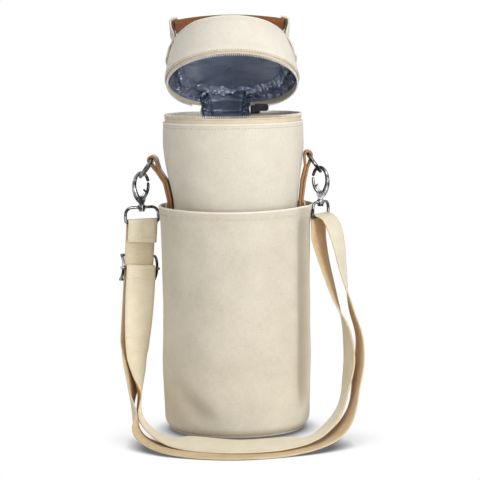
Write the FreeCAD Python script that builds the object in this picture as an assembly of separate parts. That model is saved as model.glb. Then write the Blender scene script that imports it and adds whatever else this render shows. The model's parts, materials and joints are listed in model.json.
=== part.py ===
import FreeCAD, Part
import math
import os
from FreeCAD import Vector

# Frame: millimetres, origin at the middle of the base on the floor, front towards -Y, +Z up.
# The lid is modelled open, as it stands in use, and the strap lies on the floor in front.

# Body and sleeve
RIM_Z = 285.0           # plane where the two halves of the zip meet
BODY_WAIST_R = 57.0     # body just above the sleeve
BODY_BULGE = 0.5        # how far the body stands out past its rim seam
BODY_FOOT_Z = 5.0
CAVITY_R = 51.0         # room for the bottle
CANVAS = 1.2
LINING = 0.6
SKIN_GAP = 0.2          # between layers that lie on each other
SLEEVE_Z = 201.0        # open top of the pocket sleeve
SLEEVE_LOW = 8.3        # from the body's waist to the sleeve's outside, low down
SLEEVE_MID = 9.5
SLEEVE_RIM = 11.5
SLEEVE_HEM = 12.0       # folded hem, twice as thick
FOOT_ROUND = 13.0       # rounded lower edge of the sleeve

# Base
PIPING_R = 1.1
BOARD = 2.0
BASE_FOAM = 4.0

# Zip round the rim
ZIP_R = 60.6            # middle of the tape
TAPE = 0.8
TAPE_H = 10.5
TEETH_W = 2.0
TEETH_H = 1.6
TEETH_GAP = 1.4         # left between the two rows for the slider's post
SEAM_DROP = 9.4         # from the rim plane to the seam of tape and canvas
SEAM_GAP = 0.3          # between tape and canvas
HINGE_FROM = 77.0       # fabric hinge at the back, degrees from +X
HINGE_TO = 118.0
ZIP_END = 1.5           # degrees of bare rim between hinge and zip
SLIDER_PARK = 10.5      # degrees where the lid has no teeth, round the parked slider

# Lid, measured from the rim plane while closed
LID_OPEN = 26.0         # degrees, as it stands
LID_H = 39.0
LID_TOP_R = 54.5
LID_SEAM = 5.0          # from the rim plane to the seam of tape and canvas
LID_TAPE_H = 7.2
LID_FOAM = 3.2
LID_PAD = 19.0          # thick padding under the lid's top
HINGE_OUT = 1.4         # hinge line behind the tape

# Grab handle
HANDLE_W = 25.0
HANDLE_T = 2.6
HANDLE_END_X = 49.0
HANDLE_END_H = 15.5     # above the lid's top
HANDLE_MID_H = 20.2
LEG_T = 1.8
LEG_FOOT_Z = 22.0

# Leather tabs and rings
TAB_W = 20.0
LEATHER = 2.0
TAB_FOOT_Z = 176.0
TAB_BEND_Z = 206.0      # where a tab starts to follow the body's flare
TAB_LEAVE_Z = 223.0     # where it leans out to its loop
PATCH_T = 1.2
PATCH_H = 27.0
PATCH_RISE = 3.5        # above the sleeve's rim
RING_WIRE_R = 1.6
RING_REACH = 18.5       # from the bar in the tab to the far end
RING_DROP = 55.0        # degrees below level
RING_GAP = 0.4          # between a ring and the hook that hangs on it
SIDES = {
    # name: (direction of the side, loop centre out from the body, loop height, turn of the eye)
    "left": (176.0, 9.8, 243.5, 204.0),
    "right": (0.0, 3.7, 246.5, 62.0),
}

# Snap hooks and swivel eyes
POST_R = 1.65
POST_CLEARANCE = 0.08
COLLAR_R = 3.4
COLLAR_H = 4.2
PIN_R = 0.8
PIN_CLEARANCE = 0.06
HUB_Z = 4.2             # gate pin above the collar
SLOT = 3.4
EYE_WIRE_R = 1.4
EYE_W = 31.6            # between the middles of the legs
EYE_H = 13.4

# Strap and adjuster
STRAP_W = 28.0
STRAP_T = 1.5
STRAP_GAP = 0.3
ADJ_WIRE_R = 1.25
ADJ_HALF = 11.0         # from the middle bar to an outer bar
ADJ_Z = 146.0
HANG = Vector(-0.068, -0.059, -0.996)   # the strap's straight run below the left eye

UP = Vector(0, 0, 1)
ORIGIN = Vector(0, 0, 0)

# Radii and heights that follow from these
BODY_RIM_R = ZIP_R + TAPE / 2 + SEAM_GAP + CANVAS
BODY_FULL_R = BODY_RIM_R + BODY_BULGE
SLEEVE_LOW_R = BODY_WAIST_R + SLEEVE_LOW
SLEEVE_MID_R = BODY_WAIST_R + SLEEVE_MID
SLEEVE_RIM_R = BODY_WAIST_R + SLEEVE_RIM
LINING_LIP_R = ZIP_R - TAPE / 2 - SKIN_GAP
HINGE_Y = ZIP_R + HINGE_OUT
FOAM_TOP_Z = RIM_Z - SEAM_DROP - 4.1
LINING_FLOOR_Z = 0.2 + CANVAS + BOARD + BASE_FOAM + 3 * SKIN_GAP


def rz(radius, height):
    """A point of a profile that is turned about the bag's axis."""
    return Vector(radius, 0, height)


def turned(face, start=0.0, sweep=360.0):
    """A profile in the XZ plane turned about the bag's axis."""
    return face.revolve(ORIGIN, UP, sweep).rotated(ORIGIN, UP, start)


def flat_ring(r_in, r_out, z_low, z_high, start=0.0, sweep=360.0):
    """A turned ring or a stretch of one with a rectangular section."""
    corners = [rz(r_in, z_low), rz(r_out, z_low), rz(r_out, z_high), rz(r_in, z_high)]
    return turned(Part.Face(Part.makePolygon(corners + corners[:1])), start, sweep)


def smooth(points):
    """A smooth edge through points."""
    spline = Part.BSplineCurve()
    spline.interpolate(points)
    return spline.toShape()


def wall(outer, thickness):
    """A soft turned wall; its outer side runs smoothly through (radius, height) points."""
    outside = [rz(r, z) for r, z in outer]
    inside = [rz(r - thickness, z) for r, z in outer]
    edges = [smooth(outside), Part.makeLine(outside[-1], inside[-1])]
    edges += [smooth(inside[::-1]), Part.makeLine(inside[0], outside[0])]
    return turned(Part.Face(Part.Wire(edges)))


def inset(outer, depth):
    """The same profile moved towards the axis."""
    return [(r - depth, z) for r, z in outer]


def rounded(points, radii, closed=False):
    """Edges of a path of straight runs joined by round bends."""
    count = len(points)
    bends = range(count) if closed else range(1, count - 1)
    corner = {}
    for i in bends:
        before = (points[i] - points[i - 1]).normalize()
        after = (points[(i + 1) % count] - points[i]).normalize()
        half = before.getAngle(after) / 2
        radius = radii[i] if closed else radii[i - 1]
        reach = radius * math.tan(half)
        start = points[i] - before * reach
        end = points[i] + after * reach
        centre = points[i] + (after - before).normalize() * (radius / math.cos(half))
        middle = centre + (points[i] - centre).normalize() * radius
        corner[i] = (start, middle, end)
    edges = []
    place = corner[0][2] if closed else points[0]
    for i in list(bends)[1:] + [0] if closed else bends:
        start, middle, end = corner[i]
        edges.append(Part.makeLine(place, start))
        edges.append(Part.Arc(start, middle, end).toShape())
        place = end
    if not closed:
        edges.append(Part.makeLine(place, points[-1]))
    return edges


def wire_loop(points, radii, wire_r):
    """A closed loop of round wire."""
    edges = rounded(points, radii, True)
    start = edges[0].Vertexes[0].Point
    section = Part.Wire(Part.makeCircle(wire_r, start, edges[0].tangentAt(0)))
    return Part.Wire(edges).makePipeShell([section], True, False)


def band(points, radii, thickness, width):
    """A flat band: a bent path in the XZ plane, given a thickness and carried across Y."""
    path = rounded(points, radii)
    sides = []
    for offset in (thickness / 2, -thickness / 2):
        side = []
        for edge in path:
            marks = []
            for share in (0.0, 0.5, 1.0):
                at = edge.FirstParameter + share * (edge.LastParameter - edge.FirstParameter)
                along = edge.tangentAt(at)
                marks.append(edge.valueAt(at) + Vector(-along.z, 0, along.x) * offset)
            if edge.Curve.TypeId == "Part::GeomLine":
                side.append(Part.makeLine(marks[0], marks[2]))
            else:
                side.append(Part.Arc(*marks).toShape())
        sides.append(side)
    first, second = sides
    caps = [Part.makeLine(a.Vertexes[i].Point, b.Vertexes[i].Point)
            for a, b, i in ((first[-1], second[-1], -1), (first[0], second[0], 0))]
    outline = Part.Wire(Part.__sortEdges__(first + second + caps))
    return Part.Face(outline).extrude(Vector(0, width, 0)).translated(Vector(0, -width / 2, 0))


def rod(start, end, radius):
    """A round rod between two points."""
    return Part.makeCylinder(radius, (end - start).Length, start, end - start)


def bent_rod(start, middle, end, radius):
    """A round rod bent along an arc through three points."""
    bow = Part.Arc(start, middle, end).toShape()
    circle = bow.Curve
    along = bow.tangentAt(bow.FirstParameter)
    section = Part.Face(Part.Wire(Part.makeCircle(radius, start, along)))
    sweep = math.degrees(bow.LastParameter - bow.FirstParameter)
    return section.revolve(circle.Center, circle.Axis, sweep)


def eased(points, steps):
    """Points filled in along a smooth curve through the given ones."""
    filled = []
    last = len(points) - 1
    for i in range(last):
        near = [points[min(max(i + k, 0), last)] for k in (-1, 0, 1, 2)]
        for step in range(steps):
            t = step / steps
            pull = [-t + 2 * t * t - t ** 3, 2 - 5 * t * t + 3 * t ** 3]
            pull += [t + 4 * t * t - 3 * t ** 3, t ** 3 - t * t]
            filled.append(sum((p * (w / 2) for p, w in zip(near, pull)), Vector()))
    return filled + [points[-1]]


def arm(stations):
    """A tapering round arm in the XZ plane through (out, height, radius) stations, with round ends."""
    spots = eased([Vector(p, radius, z) for p, z, radius in stations], 3)
    middles = [Vector(spot.x, 0, spot.z) for spot in spots]
    sections = []
    for i, spot in enumerate(spots):
        along = middles[min(i + 1, len(middles) - 1)] - middles[max(i - 1, 0)]
        sections.append(Part.Wire(Part.makeCircle(spot.y, middles[i], along)))
    body = Part.makeLoft(sections, True, True)
    ends = [Part.makeSphere(spots[i].y * 0.99, middles[i]) for i in (0, -1)]
    return fused(body, *ends)


def fused(first, *others):
    """One clean solid from overlapping ones."""
    return first.multiFuse(list(others)).removeSplitter()


# Turned layers of the body
BODY_SIDE = [
    (BODY_WAIST_R + 0.6, BODY_FOOT_Z),
    (BODY_WAIST_R + 0.4, SLEEVE_Z * 0.35),
    (BODY_WAIST_R + 0.1, SLEEVE_Z * 0.7),
    (BODY_WAIST_R, SLEEVE_Z - 11),
    (BODY_WAIST_R + 0.4, SLEEVE_Z + 7),
    (BODY_WAIST_R * 0.45 + BODY_FULL_R * 0.55, RIM_Z - 53),
    (BODY_FULL_R, RIM_Z - 29),
    (BODY_RIM_R, RIM_Z - SEAM_DROP - 0.1),
]


def body_shell():
    return wall(BODY_SIDE, CANVAS)


def body_foam():
    """Padding between canvas and lining, cut to a slope at the top where the lining turns out."""
    block = wall(inset(BODY_SIDE, CANVAS + SKIN_GAP), 12.0)
    r_in = CAVITY_R + LINING + SKIN_GAP
    r_out = BODY_FULL_R + SLEEVE_RIM
    keep = [rz(r_in, LINING_FLOOR_Z), rz(r_out, LINING_FLOOR_Z), rz(r_out, FOAM_TOP_Z)]
    keep += [rz(LINING_LIP_R + 0.9, FOAM_TOP_Z), rz(r_in, FOAM_TOP_Z - 9.0)]
    sleeve = turned(Part.Face(Part.makePolygon(keep + keep[:1])))
    return block.common(sleeve)


def body_lining():
    """A cup that holds the bottle and turns out to the zip at the top."""
    lip_r = LINING_LIP_R
    wall_r = CAVITY_R + LINING
    cut_z = FOAM_TOP_Z - 9.0
    outer = [rz(0, LINING_FLOOR_Z), rz(wall_r, LINING_FLOOR_Z), rz(wall_r, cut_z + 0.2)]
    outer += [rz(lip_r, FOAM_TOP_Z + 0.5), rz(lip_r, FOAM_TOP_Z + 3.5)]
    inner = [rz(lip_r - LINING, FOAM_TOP_Z + 3.5), rz(lip_r - LINING, FOAM_TOP_Z + 0.9)]
    inner += [rz(CAVITY_R, cut_z + 0.6), rz(CAVITY_R, LINING_FLOOR_Z + LINING)]
    inner.append(rz(0, LINING_FLOOR_Z + LINING))
    ring = outer + inner
    return turned(Part.Face(Part.makePolygon(ring + ring[:1])))


def base_pieces():
    """Panel, board, foam and piping under the bottle."""
    seam_r = SLEEVE_LOW_R - FOOT_ROUND - SKIN_GAP - PIPING_R
    panel_r = seam_r - PIPING_R - SKIN_GAP
    board_z = CANVAS + SKIN_GAP
    foam_z = board_z + BOARD + SKIN_GAP
    return {
        "base_panel": Part.makeCylinder(panel_r, CANVAS),
        "base_piping": Part.makeTorus(seam_r, PIPING_R, Vector(0, 0, PIPING_R)),
        "base_board": Part.makeCylinder(panel_r, BOARD, Vector(0, 0, board_z)),
        "base_foam": Part.makeCylinder(BODY_WAIST_R - CANVAS - 0.4, BASE_FOAM, Vector(0, 0, foam_z)),
    }


def pocket_sleeve():
    """Open sleeve with a rounded lower edge and a doubled hem."""
    foot_r = SLEEVE_LOW_R - FOOT_ROUND
    lift = 0.4
    slant = FOOT_ROUND * math.sqrt(0.5)
    sides = []
    for depth in (0.0, CANVAS):
        centre = rz(foot_r, lift + FOOT_ROUND)
        share = (FOOT_ROUND - depth) / FOOT_ROUND
        low = rz(foot_r, lift + depth)
        turn = centre + rz(slant * share, -slant * share)
        heel = rz(SLEEVE_LOW_R - depth, lift + FOOT_ROUND)
        rise = [heel, rz(SLEEVE_MID_R - depth, SLEEVE_Z * 0.35)]
        rise += [rz(SLEEVE_MID_R + 0.3 - depth, SLEEVE_Z * 0.7), rz(SLEEVE_RIM_R - depth, SLEEVE_Z)]
        sides.append((Part.Arc(low, turn, heel).toShape(), smooth(rise), low, rise[-1]))
    (arc_a, rise_a, low_a, top_a), (arc_b, rise_b, low_b, top_b) = sides
    outline = [arc_a, rise_a, Part.makeLine(top_a, top_b), rise_b, arc_b, Part.makeLine(low_b, low_a)]
    skin = turned(Part.Face(Part.Wire(Part.__sortEdges__(outline))))
    hem_low_r = SLEEVE_RIM_R - 0.3 - 2 * CANVAS
    hem = [rz(hem_low_r, SLEEVE_Z - SLEEVE_HEM), rz(hem_low_r + 1.6, SLEEVE_Z - SLEEVE_HEM)]
    hem += [rz(SLEEVE_RIM_R - 0.5, SLEEVE_Z), rz(SLEEVE_RIM_R - 2 * CANVAS, SLEEVE_Z)]
    return fused(skin, turned(Part.Face(Part.makePolygon(hem + hem[:1]))))


# Zip and hinge round the rim
ZIP_FROM = HINGE_TO + ZIP_END
ZIP_SWEEP = 360.0 - (HINGE_TO - HINGE_FROM) - 2 * ZIP_END
TEETH_LOW = TEETH_GAP / 2
TAPE_LOW = TEETH_LOW + TEETH_H


def zip_half(up, tape_h, bare=0.0):
    """Teeth and tape on one side of the rim plane; up is +1 for the lid and -1 for the body."""
    teeth_z = sorted((RIM_Z + up * TEETH_LOW, RIM_Z + up * TAPE_LOW))
    tape_z = sorted((RIM_Z + up * TAPE_LOW, RIM_Z + up * (TAPE_LOW + tape_h)))
    teeth = flat_ring(ZIP_R - TEETH_W / 2, ZIP_R + TEETH_W / 2, *teeth_z, ZIP_FROM, ZIP_SWEEP - bare)
    tape = flat_ring(ZIP_R - TAPE / 2, ZIP_R + TAPE / 2, *tape_z, ZIP_FROM, ZIP_SWEEP)
    return teeth, tape


def swung(shape, angle=LID_OPEN):
    """A piece of the lid turned open about the fabric hinge."""
    return shape.rotated(Vector(0, HINGE_Y, RIM_Z), Vector(-1, 0, 0), angle)


def hinge_cloth(r_in, thickness, low, high, start, sweep):
    """A cloth strip that runs up from the body and over to the open lid."""
    r_out = r_in + thickness
    below = flat_ring(r_in, r_out, RIM_Z - low, RIM_Z - 1, start, sweep)
    above = swung(flat_ring(r_in, r_out, RIM_Z + 1, RIM_Z + high, start, sweep))

    def rim(height):
        ends = [math.radians(start + share * sweep) for share in (0, 0.5, 1)]
        outer = [Vector(r_out * math.cos(a), r_out * math.sin(a), height) for a in ends]
        inner = [Vector(r_in * math.cos(a), r_in * math.sin(a), height) for a in ends]
        edges = [Part.Arc(*outer).toShape(), Part.makeLine(outer[2], inner[2])]
        edges += [Part.Arc(*inner[::-1]).toShape(), Part.makeLine(inner[0], outer[0])]
        return Part.Wire(edges)

    bridge = Part.makeLoft([rim(RIM_Z - 1), swung(rim(RIM_Z + 1))], True, True)
    return fused(below, bridge, above)


def rim_piping():
    """Piping where the body's canvas meets the zip tape."""
    cord_r = PIPING_R * 0.8
    return Part.makeTorus(ZIP_R + TAPE / 2 + 0.1 + cord_r, cord_r, Vector(0, 0, RIM_Z - SEAM_DROP + cord_r))


# Lid, modelled closed and then swung open
LID_CURVE = [(1.0, LID_SEAM / LID_H), (0.98, 0.244), (0.8, 0.385), (0.59, 0.615), (0.3, 0.82), (0.0, 0.959)]
LID_EDGE_R = LID_TOP_R + 0.4
LID_SIDE = [(LID_EDGE_R + out * (BODY_RIM_R - LID_EDGE_R), RIM_Z + up * LID_H) for out, up in LID_CURVE]


def lid_pieces():
    """Canvas, padding, lining, zip half and handle of the lid."""
    pieces = {}
    top_z = RIM_Z + LID_H
    pieces["lid_wall"] = wall(LID_SIDE, CANVAS)
    pieces["lid_top"] = Part.makeCylinder(LID_TOP_R - CANVAS - 0.6, CANVAS, Vector(0, 0, top_z - CANVAS))
    pieces["lid_top_piping"] = Part.makeTorus(LID_TOP_R - 0.1, PIPING_R * 0.8, Vector(0, 0, top_z - 0.6))
    foam_side = inset(LID_SIDE, CANVAS + SKIN_GAP)
    pieces["lid_foam_wall"] = wall(foam_side[2:-1], LID_FOAM)
    disc_z = top_z - CANVAS - SKIN_GAP - LID_PAD
    pad_r = LID_SIDE[3][0] - CANVAS - LID_FOAM - 4 * SKIN_GAP
    pieces["lid_foam_disc"] = Part.makeCone(pad_r, LID_TOP_R - 3.5, LID_PAD, Vector(0, 0, disc_z))
    pieces["lid_lining"] = lid_lining(disc_z - SKIN_GAP)
    pieces["lid_zip_teeth"], pieces["lid_zip_tape"] = zip_half(1, LID_TAPE_H, SLIDER_PARK)
    pieces["handle_strap"] = handle_strap(top_z)
    legs = handle_leg(top_z)
    pieces["right_handle_leg"] = legs
    pieces["left_handle_leg"] = legs.mirror(ORIGIN, Vector(1, 0, 0))
    return {name: swung(shape) for name, shape in pieces.items()}


def lid_lining(ceiling_z):
    """Cup inside the lid that turns out to the zip at its mouth."""
    side = inset(LID_SIDE, CANVAS + LID_FOAM + 5 * SKIN_GAP)
    lip_r = LINING_LIP_R
    lip_z = RIM_Z + LID_SEAM + 1.3
    outer = [rz(lip_r, lip_z), rz(lip_r, lip_z + 3), rz(side[2][0], lip_z + 6.2)]
    outer += [rz(side[3][0], ceiling_z), rz(0, ceiling_z)]
    inner = [rz(0, ceiling_z - LINING), rz(side[3][0] - LINING, ceiling_z - LINING)]
    inner += [rz(side[2][0] - LINING, lip_z + 5.8), rz(lip_r - LINING, lip_z + 2.6), rz(lip_r - LINING, lip_z)]
    ring = outer + inner
    return turned(Part.Face(Part.makePolygon(ring + ring[:1])))


def handle_strap(top_z):
    """Leather strap that arches over the lid."""
    end = Vector(HANDLE_END_X, 0, top_z + HANDLE_END_H)
    start = Vector(-end.x, 0, end.z)
    rise = HANDLE_MID_H - HANDLE_END_H
    bow = (HANDLE_END_X ** 2 + rise ** 2) / (2 * rise)
    middle = Vector(0, 0, end.z + rise)
    centre = Vector(0, 0, middle.z - bow)
    sides = []
    for radius in (bow + HANDLE_T / 2, bow - HANDLE_T / 2):
        marks = [centre + (mark - centre).normalize() * radius for mark in (start, middle, end)]
        sides.append(marks)
    outer, inner = sides
    edges = [Part.Arc(*outer).toShape(), Part.makeLine(outer[2], inner[2])]
    edges += [Part.Arc(*inner[::-1]).toShape(), Part.makeLine(inner[0], outer[0])]
    face = Part.Face(Part.Wire(edges))
    return face.extrude(Vector(0, HANDLE_W, 0)).translated(Vector(0, -HANDLE_W / 2, 0))


def handle_leg(top_z):
    """Canvas leg from the lid's side up to the end of the leather strap, turned in over it."""
    half = LEG_T / 2
    end_z = top_z + HANDLE_END_H
    over_z = end_z + HANDLE_T / 2 + half + SKIN_GAP
    points = [
        Vector(LID_SIDE[3][0] + half + 0.7, 0, RIM_Z + LEG_FOOT_Z),
        Vector(LID_SIDE[4][0] + half + 0.5, 0, LID_SIDE[4][1]),
        Vector(LID_TOP_R + 0.8, 0, top_z + 3),
        Vector(HANDLE_END_X + 4.0, 0, over_z),
        Vector(HANDLE_END_X - 6.0, 0, over_z + 1.75),
    ]
    return band(points, [14.0, 14.0, 3.0], LEG_T, HANDLE_W)


# Zip slider and pull, modelled on +X and then turned to their place
SLIDER_HALF = 4.0
SLIDER_GAP = 0.45        # between the teeth and the slider's plates
SLIDER_AT = HINGE_FROM - ZIP_END - 5.4
BAIL_R = 0.7
BAIL_OUT = 2.8          # bar in front of the slider's inner plate
PULL_L = 13.0
PULL_H = 6.6
PULL_T = 1.6
PULL_LIFT = 2.0         # the plate stands higher than the slider's middle


def zip_slider():
    """Two plates on a post, with a bar on the inner side that holds the pull."""
    plate_t = 1.2
    gap_in = ZIP_R - TEETH_W / 2 - SLIDER_GAP
    gap_out = ZIP_R + TEETH_W / 2 + SLIDER_GAP
    height = 7.2
    low = RIM_Z - height / 2
    plates = []
    for plate_x in (gap_in - plate_t, gap_out):
        plates.append(Part.makeBox(plate_t, 2 * SLIDER_HALF, height, Vector(plate_x, -SLIDER_HALF, low)))
    post_h = TEETH_GAP - 0.6
    post = Part.makeBox(gap_out - gap_in + 1, 2.6, post_h, Vector(gap_in - 0.5, 1.0, RIM_Z - post_h / 2))
    bar_x = gap_in - plate_t - BAIL_OUT
    bar = rod(Vector(bar_x, 0, RIM_Z - 2.9), Vector(bar_x, 0, RIM_Z + 2.9), BAIL_R)
    feet = []
    for foot_z in (-3.4, 2.4):
        corner = Vector(bar_x - BAIL_R, -0.7, RIM_Z + foot_z)
        feet.append(Part.makeBox(gap_in - bar_x, 1.4, 1.0, corner))
    return fused(*plates, post, bar, *feet), bar_x


def zip_pull(bar_x):
    """Flat pull with an eye round the slider's bar, lying along the inside of the rim and tipped up."""
    eye_r = BAIL_R + PIN_CLEARANCE
    eye = Part.makeCylinder(eye_r + 0.7, 4.4, Vector(bar_x, 0, RIM_Z - 2.2))
    corner = Vector(bar_x - PULL_T / 2, -PULL_L - 1.6, RIM_Z - PULL_H / 2)
    plate = Part.makeBox(PULL_T, PULL_L, PULL_H, corner)
    corners = [e for e in plate.Edges if abs(e.tangentAt(0).x) > 0.9 and e.CenterOfMass.y < -PULL_L / 2]
    plate = plate.makeFillet(PULL_H * 0.42, corners).translated(UP * PULL_LIFT)
    neck = Part.makeBox(1.1, 2.6, 4.4, Vector(bar_x - 0.55, -3.0, RIM_Z - 2.2))
    return fused(plate, neck, eye).cut(Part.makeCylinder(eye_r, 9, Vector(bar_x, 0, RIM_Z - 4.5)))


# Leather tabs, rings, hooks and eyes: modelled on +X and then turned to their side
def tab_and_patch(loop_x, loop_z):
    """Leather folded over the ring's bar, sewn flat into the pocket gap, and the canvas patch on its foot."""
    inner_x = BODY_WAIST_R + 0.8 + LEATHER / 2
    outer_x = inner_x + LEATHER + SKIN_GAP
    bend_r = RING_WIRE_R + 0.5 + LEATHER / 2
    flare = BODY_WAIST_R * 0.64 + BODY_FULL_R * 0.36
    hug_x = flare + 0.6 + LEATHER / 2
    hug_out_x = hug_x + LEATHER + 3 * SKIN_GAP
    lean = math.atan2(loop_x - hug_out_x, loop_z - TAB_LEAVE_Z)
    across = Vector(math.cos(lean), 0, -math.sin(lean))
    along = Vector(math.sin(lean), 0, math.cos(lean))
    loop = Vector(loop_x, 0, loop_z)
    neck = loop - along * 11.0
    half = (LEATHER + SKIN_GAP) / 2
    points = [
        Vector(inner_x, 0, TAB_FOOT_Z),
        Vector(inner_x, 0, TAB_BEND_Z),
        Vector(hug_x, 0, TAB_LEAVE_Z),
        neck - across * half,
        loop - across * bend_r - along * 2.0,
        loop - across * bend_r + along * bend_r,
        loop + across * bend_r + along * bend_r,
        loop + across * bend_r - along * 2.0,
        neck + across * half,
        Vector(hug_out_x, 0, TAB_LEAVE_Z),
        Vector(outer_x, 0, TAB_BEND_Z),
        Vector(outer_x, 0, TAB_FOOT_Z),
    ]
    tight = bend_r - 0.02
    leather = band(points, [9.0, 6.0, 5.0, 5.0, tight, tight, 5.0, 5.0, 6.0, 9.0], LEATHER, TAB_W)
    patch_x = outer_x + LEATHER / 2 + SKIN_GAP
    patch_at = Vector(patch_x, -TAB_W / 2 - 2, SLEEVE_Z + PATCH_RISE - PATCH_H)
    patch = Part.makeBox(PATCH_T, TAB_W + 4, PATCH_H, patch_at)
    return leather, patch


def ring_of(loop_x, loop_z):
    """D-shaped ring hanging out of its tab and into the hook."""
    out = Vector(math.cos(math.radians(RING_DROP)), 0, -math.sin(math.radians(RING_DROP)))
    side = Vector(0, 1, 0)
    bar = Vector(loop_x, 0, loop_z)
    half = TAB_W / 2 + 0.8 + RING_WIRE_R
    far = bar + out * RING_REACH
    points = [bar - side * half, bar + side * half, far + side * (half - 1.5), far - side * (half - 1.5)]
    ring = wire_loop(points, [2.6, 2.6, 8.0, 8.0], RING_WIRE_R)
    return ring, far


CLAW_SPINE = [(2.4, 4.6, 2.5), (4.6, 8.2, 2.45), (6.2, 13.5, 2.2), (6.3, 19.0, 1.9), (4.7, 25.0, 1.65),
              (0.4, 29.0, 1.5), (-4.1, 26.7, 1.45), (-6.0, 22.3, 1.4)]
GATE_SPINE = [(-2.0, 6.4, 1.4), (-4.4, 9.6, 1.4), (-6.0, 14.5, 1.35), (-6.2, 19.0, 1.3)]


def hook_pieces():
    """Claw on its swivel post, gate, gate pin and gate spring; the origin is on top of the eye's collar."""
    hub_at = Vector(0, 0, HUB_Z)
    across = Vector(0, 1, 0)
    hub = Part.makeCylinder(3.5, 7.0, hub_at - across * 3.5, across)
    neck = Part.makeCylinder(2.4, 3.2, Vector(0, 0, 0.3))
    post = Part.makeCylinder(POST_R, COLLAR_H + 1.2, Vector(0, 0, -COLLAR_H - 0.6))
    head = Part.makeCylinder(2.7, 1.6, Vector(0, 0, -COLLAR_H - 1.8))
    claw = fused(arm(CLAW_SPINE), hub, neck, post, head)
    pocket = Part.makeCylinder(3.0, SLOT, hub_at - across * SLOT / 2, across)
    exit_slot = Part.makeBox(8.2, SLOT, 8.0, Vector(-7.0, -SLOT / 2, HUB_Z))
    pin_hole = Part.makeCylinder(PIN_R + 0.02, 20, hub_at - across * 10, across)
    claw = claw.cut(pocket).cut(exit_slot).cut(pin_hole)
    tail = Part.makeCylinder(2.5, 2.6, hub_at - across * 1.3, across)
    spur = rod(Vector(-4.6, 0, 11.2), Vector(-2.4, 0, 13.4), 0.9)
    gate = fused(arm(GATE_SPINE), tail, spur, Part.makeSphere(0.9, Vector(-2.4, 0, 13.4)))
    gate = gate.cut(Part.makeCylinder(PIN_R + PIN_CLEARANCE, 20, hub_at - across * 10, across))
    pin = Part.makeCylinder(PIN_R, 7.0, hub_at - across * 3.5, across)
    caps = [Part.makeCylinder(1.5, 0.6, hub_at + across * y, across) for y in (-4.1, 3.5)]
    pin = fused(pin, *caps)
    leaf = [Vector(1.2, 0, 8.1), Vector(-0.4, 0, 8.2), Vector(-2.1, 0, 11.0)]
    spring = band(leaf, [1.5], 0.35, 2.0)
    return {"claw": claw, "gate": gate, "gate_pin": pin, "gate_spring": spring}


def swivel_eye():
    """Wire eye with a collar on its top bar; the origin is on top of the collar and the bar runs along X."""
    bar_z = -COLLAR_H / 2
    half = EYE_W / 2
    foot_z = bar_z - EYE_H
    points = [Vector(x, 0, z) for x, z in ((-half, bar_z), (half, bar_z), (half, foot_z), (-half, foot_z))]
    loop = wire_loop(points, [6.5, 6.5, 2.2, 2.2], EYE_WIRE_R)
    collar = Part.makeCylinder(COLLAR_R, COLLAR_H, Vector(0, 0, -COLLAR_H))
    bore = Part.makeCylinder(POST_R + POST_CLEARANCE, 20, Vector(0, 0, -10))
    return fused(loop, collar).cut(bore)


def side_pieces(name):
    """Everything from the tab to the swivel eye on one side, and the place of the eye's lower bar."""
    towards, reach, loop_z, eye_turn = SIDES[name]
    loop_x = BODY_FULL_R + reach
    pieces = {}
    pieces["ring_tab"], pieces["tab_patch"] = tab_and_patch(loop_x, loop_z)
    pieces["ring"], far = ring_of(loop_x, loop_z)
    wire_in_claw = CLAW_SPINE[5][1] - CLAW_SPINE[5][2] - RING_WIRE_R - RING_GAP
    collar = Vector(far.x, 0, far.z - wire_in_claw)
    for part, shape in hook_pieces().items():
        pieces["hook_" + part if part == "claw" else part] = shape.translated(collar)
    placed = {name + "_" + part: shape.rotated(ORIGIN, UP, towards) for part, shape in pieces.items()}
    angle = math.radians(towards)
    at = Vector(collar.x * math.cos(angle), collar.x * math.sin(angle), collar.z)
    placed[name + "_swivel_eye"] = swivel_eye().rotated(ORIGIN, UP, eye_turn).translated(at)
    return placed, at - UP * (COLLAR_H / 2 + EYE_H)


# Strap: one webbing in two stretches, laid along stations of (middle, width direction)
LOOP_R = EYE_WIRE_R + STRAP_GAP + STRAP_T / 2
ADJ_LOOP_R = ADJ_WIRE_R + STRAP_GAP + STRAP_T / 2


def direction(degrees):
    return Vector(math.cos(math.radians(degrees)), math.sin(math.radians(degrees)), 0)


def glide(stations, steps):
    """Stations filled in smoothly between the given ones."""
    middles, widths = zip(*stations)
    return list(zip(eased(middles, steps), eased(widths, steps)))


def webbing(stations):
    """A flat webbing through stations."""
    sections = []
    for i, (middle, width) in enumerate(stations):
        along = (stations[min(i + 1, len(stations) - 1)][0] - stations[max(i - 1, 0)][0]).normalize()
        across = (width - along * width.dot(along)).normalize()
        out = along.cross(across)
        half_w = across * (STRAP_W / 2)
        half_t = out * (STRAP_T / 2)
        corners = [middle + half_w * w + half_t * t for w, t in ((1, 1), (-1, 1), (-1, -1), (1, -1))]
        sections.append(Part.makePolygon(corners + corners[:1]))
    return Part.makeLoft(sections, True, True)


def over_bar(bar, near_side, width, radius, last=180, top=UP, count=9):
    """Stations of a webbing that turns over a bar, from the near side across the top."""
    turn = []
    for i in range(count):
        angle = math.radians(last * i / (count - 1))
        turn.append((bar + near_side * (radius * math.cos(angle)) + top * (radius * math.sin(angle)), width))
    return turn


def hang_frame(width):
    """Direction from the strap's rear to its front on the left, where it hangs straight."""
    return HANG.cross(width).normalize()


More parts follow.
